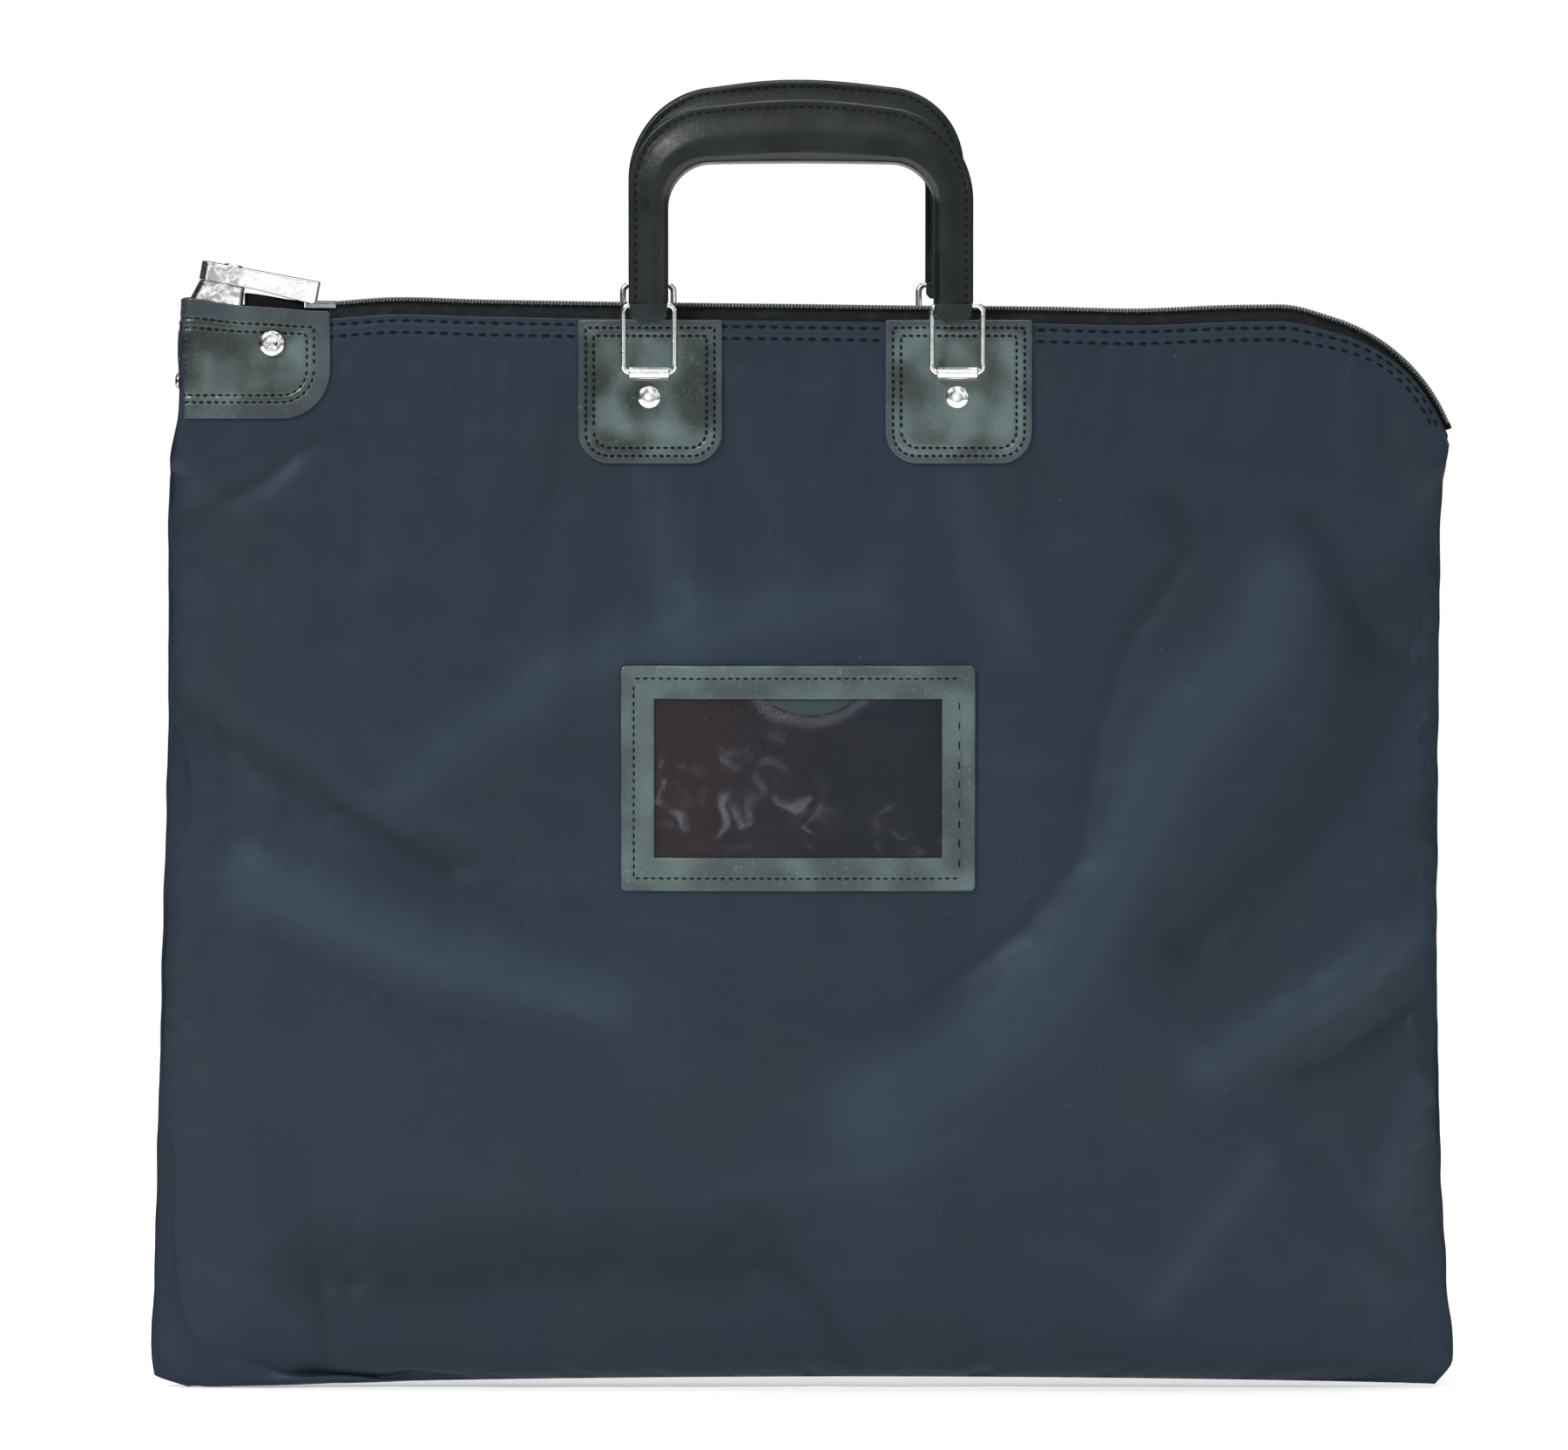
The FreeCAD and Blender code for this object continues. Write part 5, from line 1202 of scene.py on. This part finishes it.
def make_zipper_stitches(side, sign):
    """The row that holds the coil to its tape, and the hem's two rows."""
    sewn = [along_zipper(s, 3.05, -0.35, sign) for s in np.linspace(CHAIN_START, TOP_LENGTH - 1, 420)]
    rows = [stitches(sewn, lambda p: (0, sign * 0.7, 0.7), 1.9, 1.7, 0.28, 0.0)]
    for inset in (2.6, 7.1):
        path = []
        for s in np.linspace(1, TOP_LENGTH - 0.5, 500):
            x, z = (float(v) for v in along_top(s, HEM + inset))
            path.append(Vector((x, sign * (skin(side, x, z) + 0.10), z)))
        rows.append(stitches(path, outwards(sign), 4.9, 3.4, 0.46, 0.02))
    piece(f"zipper_{side}_stitches", *merged(*rows), THREAD, "bag", "zipper_tape")


for side, sign in SIDES:
    make_tape(side, sign)
    make_coil(side, sign)
    make_zipper_stitches(side, sign)

# ---- Card window ----

WINDOW = (-70.4, 194.7, 66.5, 281.8)
BORDER, WINDOW_ROUND = 12.8, 2.0
STITCH_INSET = 4.9
TUCK = 8  # how far in the backing and the pane begin, under the border
CELL = 3  # spacing of the points where the panel's face is read


def level_at(x, z):
    """Panel's face at a point of the window, smoothed over a little patch so that the border lies evenly."""
    samples = [skin("front", x + dx, z + dz) for dx in (-4, 0, 4) for dz in (-4, 0, 4)]
    return sum(samples) / len(samples)


LEVELS = {}


def soft_level(x, z):
    """Panel's face at a point of the window, between the four nearest points of a coarse grid."""
    i, j = math.floor(x / CELL), math.floor(z / CELL)
    for key in ((i, j), (i + 1, j), (i, j + 1), (i + 1, j + 1)):
        if key not in LEVELS:
            LEVELS[key] = level_at(key[0] * CELL, key[1] * CELL)
    fx, fz = x / CELL - i, z / CELL - j
    low = LEVELS[i, j] * (1 - fx) + LEVELS[i + 1, j] * fx
    high = LEVELS[i, j + 1] * (1 - fx) + LEVELS[i + 1, j + 1] * fx
    return low * (1 - fz) + high * fz


def make_border():
    """Vinyl frame with a pressed-in stitch line, its outer and inner edges turned down."""
    radii = (WINDOW_ROUND,) * 4
    insets = [0, 0.0, 0.2, 0.6] + list(np.arange(1.1, BORDER - 0.4, 0.62)) + [BORDER - 0.25, BORDER, BORDER]

    def height(x, z, inset):
        out = 1.5 - 0.35 * groove(inset - STITCH_INSET, 0.6)
        if inset < 0.6:
            out *= 0.75 + 0.25 * inset / 0.6
        if inset > BORDER - 0.5:
            out -= 0.2
        out += 0.12 * noise.noise(Vector((x, 3, z)) / 11) + 0.05 * noise.noise(Vector((x, 3, z)) / 3)
        return soft_level(x, z) + out

    points, faces, _ = sewn_flat(WINDOW, radii, insets, height, 4.0)
    count = len(outline_points(WINDOW, radii, 0))
    for ring_start, out in ((0, -0.3), (len(points) - count, 0.35)):
        for k in range(ring_start, ring_start + count):
            x, _, z = points[k]
            points[k] = (x, soft_level(x, z) + out, z)
    solid = [Vector((x, -out, z)) for x, out, z in points]
    border = piece("window_border_vinyl", solid, faces, FRAME_VINYL, "bag", "window_vinyl")
    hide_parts("window_frame")


def window_sheet(name, lift, waves, notched, material, slot):
    """Thin sheet across the window's opening, at a height over the panel."""
    x0, z0, x1, z1 = WINDOW
    columns, rows = 140, 88
    points = []
    for r in range(rows):
        for c in range(columns):
            x = x0 + TUCK + (x1 - x0 - 2 * TUCK) * c / (columns - 1)
            z = z0 + TUCK + (z1 - z0 - 2 * TUCK) * r / (rows - 1)
            wave = 0.28 * noise.noise(Vector((x, lift * 9, z)) / 16) + 0.12 * noise.noise(Vector((x, 1, z)) / 6)
            points.append(Vector((x, -(soft_level(x, z) + lift + wave * waves), z)))
    faces = grid_faces(rows, columns)
    if notched:
        middles = [sum((points[v] for v in face), Vector()) / 4 for face in faces]
        faces = [face for face, middle in zip(faces, middles)
                 if math.hypot(middle.x - NOTCH[0], middle.z - NOTCH[1]) > NOTCH_R]
    return piece(name, points, faces, material, "bag", slot)


def make_window():
    make_border()
    backing = window_sheet("window_backing_cloth", 0.35, 0, False, CARD_CLOTH, "card_backing")
    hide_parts("window_backing")
    pane = window_sheet("window_pane_vinyl", 0.95, 1, True, PANE, "clear_vinyl")
    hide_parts("window_pane")
    x0, z0, x1, z1 = WINDOW
    left, bottom, right, top = x0 + STITCH_INSET, z0 + STITCH_INSET, x1 - 6.2, z1 - STITCH_INSET
    runs = (((left, bottom), (right, bottom), 3.0, 2.0), ((left, top), (right, top), 3.0, 2.0),
            ((left, bottom), (left, top), 3.0, 2.0), ((right, bottom + 2), (right, top - 2), 7.6, 4.4))
    rows = []
    for (ax, az), (bx, bz), pitch, length in runs:
        spots = [(ax + (bx - ax) * k / 60, az + (bz - az) * k / 60) for k in range(61)]
        line = [Vector((x, -(soft_level(x, z) + 1.28), z)) for x, z in spots]
        rows.append(stitches(line, outwards(-1), pitch, length, 0.34, 0.02))
    piece("window_stitches", *merged(*rows), THREAD, "bag", "window_vinyl")


make_window()

# ---- Corner patch, wrapped round the lock's end of the bag ----

PATCH_X, PATCH_LOW, PATCH_HIGH = -182.4, 377.2, 418.6
END_X, END_R, PATCH_OUT = -241.0, 5.2, 8.25
LOCK_RIVET_X, LOCK_RIVET_Z = -204.8, 406.2


def wrapped(s, z, out):
    """Point of the patch: s runs round the end from the front (negative) to the rear, 0 in the middle."""
    side = -1 if s < 0 else 1
    flat_end = PATCH_OUT - END_R
    bulge = 0.35 * math.exp(-((z - 400) / 9) ** 2) - 1.0 * float(ease((z - 408) / 14))
    t = abs(s)
    if t <= flat_end:
        return Vector((END_X - out - bulge, s, z))
    t -= flat_end
    arc = END_R * math.pi / 2
    if t <= arc:
        a = t / END_R
        r = END_R + out
        return Vector((END_X + END_R - r * math.cos(a) - bulge * math.cos(a), side * (flat_end + r * math.sin(a)), z))
    return Vector((END_X + END_R + t - arc, side * (PATCH_OUT + out), z))


def make_patch():
    """Vinyl patch with two rows of stitches, laid over the lock's block and pinched round its rivet."""
    reach = (PATCH_OUT - END_R) + END_R * math.pi / 2 + (PATCH_X - END_X - END_R)
    box = (-reach, PATCH_LOW, reach, PATCH_HIGH)
    radii = (19.0, 19.0, 1.5, 1.5)

    def top_rise(s, z):
        """The upper edge climbs towards the end."""
        share = float(ease((reach - abs(s)) / (reach * 0.9)))
        return (4.2 * share + 0.8 * math.sin(abs(s) / 6.5) * share) * float(ease((z - 400) / 18))

    def height(s, z, inset):
        out = -0.1 - 0.42 * groove(inset - 6.3, 0.6) - 0.42 * groove(inset - 9.0, 0.6)
        out += 0.1 * groove(inset - 7.6, 0.7)
        x = PATCH_X - reach + abs(s)
        out += 0.22 * float(ease((-212 - x) / 3)) * float(ease((z - 396) / 4))
        out -= 0.5 * groove(x + 229, 3.2) * float(ease((z - 380) / 10)) * (abs(s) > 8)
        out += 0.28 * noise.noise(Vector((s, z, 5)) / 15) + 0.09 * noise.noise(Vector((s, z, 5)) / 4)
        return out - 0.35 * groove(math.hypot(x - LOCK_RIVET_X, z - LOCK_RIVET_Z), 7.5)

    def outward(p):
        if p.x > END_X + END_R:
            return (0, math.copysign(1, p.y), 0)
        return (p.x - END_X - END_R, p.y * 0.6, 0)

    insets = [0, 0, 0.15, 0.45, 0.9] + list(np.arange(1.4, 11.2, 0.5))
    points, faces, margins = sewn_flat(box, radii, insets, height, 5.4, (0, 399))
    count = len(outline_points(box, radii, 0))
    solid = []
    for k, (s, out, z) in enumerate(points):
        # the first ring is inside the bag, the second just under the patch's face
        if k < count:
            out = -1.0
        elif k < 2 * count:
            out -= 0.25
        solid.append(wrapped(s, z + top_rise(s, z), out))
    patch = piece("corner_patch_vinyl", solid, faces, VINYL, "bag", "vinyl")
    with_values(patch, "margin", margins)
    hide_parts("corner_patch")
    rows = []
    for inset in (6.3, 9.0):
        path = outline_points(box, radii, inset)
        path = [wrapped(s, z + top_rise(s, z), -0.33) for s, z in path + path[:1]]
        rows.append(stitches(path, outward, 2.9, 1.9, 0.34, 0.0))
    piece("corner_patch_stitches", *merged(*rows), THREAD, "bag", "vinyl")


make_patch()


def make_lock_rivets():
    """Dimpled head at the front, a plain one at the rear, and the end rivet on the patch's side."""
    profile = [(0, 0.55), (0.7, 0.6), (1.4, 1.25), (2.3, 1.85), (3.6, 1.72), (4.85, 0.95), (5.2, 0.2), (4.9, -0.3),
               (0, -0.35)]
    parts = []
    for side, sign in SIDES:
        points, faces = lathe(rounded(profile, 0.25), 12 if sign < 0 else 40)
        if sign < 0:
            for p in points:
                p.z += 0.12 * math.cos(6 * math.atan2(p.y, p.x)) * min(1, math.hypot(p.x, p.y) / 4)
        turn = Matrix.Rotation(math.radians(90 * -sign), 4, "X")
        place = Matrix.Translation((LOCK_RIVET_X, sign * PATCH_OUT, LOCK_RIVET_Z)) @ turn
        parts.append((moved(points, place), faces))
    rivet = piece("lock_rivet_heads", *merged(*parts), BRIGHT, "bag", "bright_metal")
    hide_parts("lock_rivet")
    points, faces = lathe(rounded([(0, 1.7), (1.9, 1.5), (2.9, 0.9), (3.2, 0.0), (0, -0.1)], 0.3), 32)
    place = Matrix.Translation((END_X + 0.1, -1.6, 391.5)) @ Matrix.Rotation(math.radians(-90), 4, "Y")
    end = piece("end_rivet_head", moved(points, place), faces, BRIGHT, "bag", "bright_metal")
    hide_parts("end_rivet")


make_lock_rivets()

# ---- Lock ----

PIVOT, TILT = Vector((-189.5, 0, 424.6)), math.radians(10.5)
ARM_FRAME = Matrix.Translation(PIVOT) @ Matrix.Rotation(TILT, 4, "Y")
BARREL_U, ARM_END, ARM_HALF = 32.0, 44, 5.5
KEYWAY_DEPTH = 1.6


def make_arm():
    """Die-cast arm: flat sides, a chamfered nose, and a skirt that straddles the slider."""
    top, bottom, skirt, nose = 5.4, -1.8, -3.4, 2.2
    outline = [(-ARM_END + nose, bottom), (-22, bottom), (0.9, skirt), (2.0, skirt + 1), (2.0, top),
               (-ARM_END + nose, top)]
    points, faces = prism(outline, -ARM_HALF, ARM_HALF)
    # the nose is closed by two slanted faces and one flat end, in place of the prism's end face
    n, base = len(outline), len(points)
    points += [Vector((-ARM_END, y, z)) for y in (-ARM_HALF + nose, ARM_HALF - nose) for z in (bottom, top)]
    faces = [f for f in faces if set(f) != {0, 5, n, n + 5}]
    faces += [(0, base, base + 1, 5), (base, base + 2, base + 3, base + 1), (base + 2, n, n + 5, base + 3),
              (0, n, base + 2, base), (5, base + 1, base + 3, n + 5)]
    arm = piece("lock_arm_metal", moved(points, ARM_FRAME), faces, BRIGHT, "lock_arm", "bright_metal")
    bevelled(arm, 0.45, 3, 20)
    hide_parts("lock_arm")


def make_housing():
    """Block under the arm's nose, cut off at the top to the arm's slope, with two chamfered corners."""
    half, chamfer, soft = 6.0, 2.3, 0.8
    left, right, low = -237.0, -216.6, 416.0
    top_left = ARM_FRAME @ Vector((-43.4, 0, -1.95))
    top_right = ARM_FRAME @ Vector((-26.0, 0, -1.95))
    points = []
    for x0, x1, z0, z1 in ((left, right, low, low), (left, right, 422.6, 421.0),
                           (top_left.x - 0.2, top_right.x - 0.4, top_left.z, top_right.z)):
        corner = [(x0, -half + chamfer, z0), (x0 + chamfer, -half, z0), (x1 - soft, -half, z1),
                  (x1, -half + soft, z1)]
        points += [Vector(p) for p in corner] + [Vector((x, -y, z)) for x, y, z in corner[::-1]]
    faces = capped(grid_faces(3, 8, wrap=True), 3, 8)
    housing = piece("lock_housing_metal", points, faces, BRIGHT, "bag", "bright_metal")
    bevelled(housing, 0.4, 3, 18)
    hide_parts("lock_housing")


def make_barrel():
    """Pop-up barrel, the key plug in it with a slot and a bolt, and the spring under it."""
    stand = ARM_FRAME @ Matrix.Translation((-BARREL_U, 0, 0))
    profile = [(0, 3.4), (1.95, 3.4), (1.95, 5.75), (2.15, 6.0), (3.2, 6.0), (3.6, 5.6), (3.6, 3.3), (2.75, 3.2),
               (2.75, -1.5), (0, -1.5)]
    points, faces = lathe(rounded(profile, 0.14), 44)
    barrel = piece("lock_barrel_metal", moved(points, stand), faces, BRIGHT, "pop_up_barrel", "bright_metal")
    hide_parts("lock_barrel")
    profile = [(0, 5.55), (0.9, 5.55), (1.55, 5.55), (1.85, 5.7), (1.85, 3.5), (0, 3.5)]
    disc, disc_faces = lathe(rounded(profile, 0.1), 36)
    for p in disc:
        if abs(p.y) < 0.45 and abs(p.x) < 1.4 and p.z > 5:
            p.z -= KEYWAY_DEPTH
    stem, stem_faces = lathe([(0, 3.6), (1.4, 3.6), (1.4, -6.6), (0, -6.6)], 20)
    bolt, bolt_faces = prism([(-3.4, -9.0), (3.4, -9.0), (3.4, -6.6), (-3.4, -6.6)], -1.6, 1.6)
    points, faces = merged((disc, disc_faces), (stem, stem_faces), (bolt, bolt_faces))
    plug = piece("key_plug_brass", moved(points, stand), faces, BRASS, "key_plug", "brass")
    bevelled(plug, 0.12, 2, 35)
    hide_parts("key_plug")
    turns, steps, radius, rise_per_turn = 3, 20, 3.2, 0.42
    path = []
    for k in range(turns * steps + 1):
        a = 2 * math.pi * k / steps
        path.append(stand @ Vector((radius * math.cos(a), radius * math.sin(a), -0.6 + rise_per_turn * k / steps)))
    points, faces = sweep(path, ring_section(0.2, 8), up=stand.to_3x3() @ Vector((0, 0, 1)))
    spring = piece("lock_spring_wire", points, faces, PLATED, "pop_up_barrel", "plated_steel")
    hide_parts("lock_spring")


def make_slider():
    """Slider: two plates, the divider between the coils, side walls, ears for the lock arm, and their pin."""
    top_plate = [(-2.5, 1.4), (9.0, 1.4), (9.5, 1.7), (9.4, 2.15), (8.6, 2.4), (-2.1, 2.4), (-2.5, 2.1)]
    bottom_plate = [(-2.5, -3.3), (9.3, -3.3), (9.5, -2.9), (9.2, -2.3), (-2.5, -2.3)]
    divider = [(-2.5, -2.4), (0.5, -2.4), (0.5, 1.5), (-2.5, 1.5)]
    wall = [(-2.4, -0.4), (9.2, -0.4), (9.5, 1.5), (-2.5, 1.5)]
    ear = [(-1.6, 2.3), (1.6, 2.3), (1.6, 4.9), (1.1, 5.9), (0, 6.2), (-1.1, 5.9), (-1.6, 4.9)]
    layers = ((top_plate, -3.9, 3.9), (bottom_plate, -1.3, 1.3), (divider, -1.2, 1.2), (wall, -3.9, -3.9 + 0.8),
              (wall, 3.1, 3.1 + 0.8), (ear, -3.5, -3.5 + 1.4), (ear, 2.1, 2.1 + 1.4))
    parts = [prism([(PIVOT.x + a, CHAIN_Z + b) for a, b in outline], low, high) for outline, low, high in layers]
    slider = piece("zipper_slider_metal", *merged(*parts), SATIN, "slider", "bright_metal")
    bevelled(slider, 0.18, 2, 30)
    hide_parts("zipper_slider")
    points, faces = lathe(rounded([(0, 5.3), (0.8, 5.3), (0.8, -5.3), (0, -5.3)], 0.15), 24)
    place = Matrix.Translation(PIVOT) @ Matrix.Rotation(math.radians(90), 4, "X")
    pin = piece("arm_pin_rod", moved(points, place), faces, SATIN, "slider", "bright_metal")
    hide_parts("arm_pin")


def make_end_stop():
    """Bar of black thread and cloth that closes the far end of the zipper."""
    parts = []
    for k in range(7):
        path = [along_zipper(TOP_LENGTH - 1.8 + 0.3 * k, 2.7 * math.cos(a), 1.1 * math.sin(a), 1)
                for a in np.linspace(0, 2 * math.pi, 25)[:-1]]
        parts.append(sweep(path, ring_section(0.24, 8), closed=True, up=Vector((0.36, 0, -0.93))))
    stop = piece("zipper_end_bartack", *merged(*parts), THREAD, "bag", "bright_metal")
    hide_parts("zipper_end_stop")


def make_tape_ends():
    """Folded ends of the two tapes, stitched into a black tag under the lock arm."""
    points = []
    for x, z in ((-215.6, 425.6), (-211, 425.1), (-206, 424.3), (-200, 423.2), (-192.8, 422.3)):
        wave = 0.25 * math.sin(x * 1.3)
        section = [(-3.4 + wave, 415), (-3.5 + wave, z - 1.2), (-2.6, z - 0.2), (-0.8, z - 0.5), (0.9, z - 0.1),
                   (2.7, z - 0.4), (3.5 - wave, z - 1.3), (3.4 - wave, 415)]
        points += [Vector((x, y, h)) for y, h in section]
    faces = capped(grid_faces(5, 8, wrap=True), 5, 8)
    tag = piece("zipper_tape_ends", points, faces, TAPE, "bag", "zipper_tape")
    bevelled(tag, 0.3, 2, 40)


make_tape_ends()
make_arm()
make_housing()
make_barrel()
make_slider()
make_end_stop()

for name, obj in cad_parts.items():
    if name.startswith("rivet_washer"):
        obj.data.materials.clear()
        obj.data.materials.append(PLATED)

# ---- Floor, light and camera ----


def studio_sky():
    """White behind the bag for the camera. The room that lights it is dim, with a ceiling, windows and a pale
    card in front. Metal sees darkness behind the bag and at the left, which gives it dark edges."""
    world = bpy.data.worlds.new("studio_world")
    world.use_nodes = True
    s = Nodes(world.node_tree)
    direction = s.add("ShaderNodeTexCoord").outputs["Generated"]
    across = s.parts(direction)
    ceiling = s.span(across["Z"], 0.0, 0.85, 0.06, 0.45)
    windows = s.span(s.noise(1 / 2.6, 1.0, at=direction), 0.50, 0.60, 0.0, 1.1)
    high = s.span(across["Z"], -0.25, 0.15, 0.15, 1.0)
    card = s.span(s.distance(direction, (-0.05, -0.998, -0.04)), 0.08, 0.24, 1.3, 0.0)
    room = s.math("ADD", s.math("MULTIPLY_ADD", windows, high, ceiling), card)
    rays = s.add("ShaderNodeLightPath").outputs
    behind = s.span(rays["Is Glossy Ray"], 0, 1, 0.9, 0.12)
    room = s.blend(s.span(across["Y"], 0.0, 0.3), room, behind)
    room = s.math("MULTIPLY", room, s.span(across["X"], -0.92, -0.72, 0.06, 1.0))
    background = s.tree.nodes["Background"]
    background.inputs["Color"].default_value = (1.0, 1.0, 1.0, 1.0)
    s.link(s.blend(rays["Is Camera Ray"], room, 1.0), background.inputs["Strength"])
    bpy.context.scene.world = world


# name, place, power in watts and size, in metres
LAMPS = (("key_light", (-1.6, -1.5, 2.1), 70, 0.7), ("fill_light", (1.5, -1.6, 0.7), 2, 1.2),
         ("top_light", (0.1, 0.4, 2.4), 34, 1.8))
FLOOR_HALF = 1.3


def make_studio():
    mesh = bpy.data.meshes.new("studio_floor")
    corners = [(x * FLOOR_HALF, y * FLOOR_HALF, 0) for x, y in ((-1, -1), (1, -1), (1, 1), (-1, 1))]
    mesh.from_pydata(corners, [], [(0, 1, 2, 3)])
    mesh.materials.append(floor_paper())
    floor = bpy.data.objects.new("studio_floor", mesh)
    bpy.context.scene.collection.objects.link(floor)
    studio_sky()
    for name, place, power, size in LAMPS:
        light = bpy.data.lights.new(name, "AREA")
        light.energy, light.size = power, size
        lamp = bpy.data.objects.new(name, light)
        lamp.location = place
        aim = Vector((0, 0, 0.25)) - Vector(place)
        lamp.rotation_euler = aim.to_track_quat("-Z", "Y").to_euler()
        bpy.context.scene.collection.objects.link(lamp)


def make_camera():
    """Long lens from the front, a little above the bag's middle."""
    target, distance, elevation = Vector((-0.0074, 0, 0.2582)), 4.0, math.radians(4)
    camera = bpy.data.cameras.new("camera")
    camera.sensor_width, camera.lens = 36, 237.1
    obj = bpy.data.objects.new("camera", camera)
    obj.location = target + distance * Vector((0, -math.cos(elevation), math.sin(elevation)))
    obj.rotation_euler = (target - obj.location).to_track_quat("-Z", "Y").to_euler()
    bpy.context.scene.collection.objects.link(obj)
    bpy.context.scene.camera = obj
    bpy.context.scene.view_settings.view_transform = "Standard"


make_studio()
make_camera()
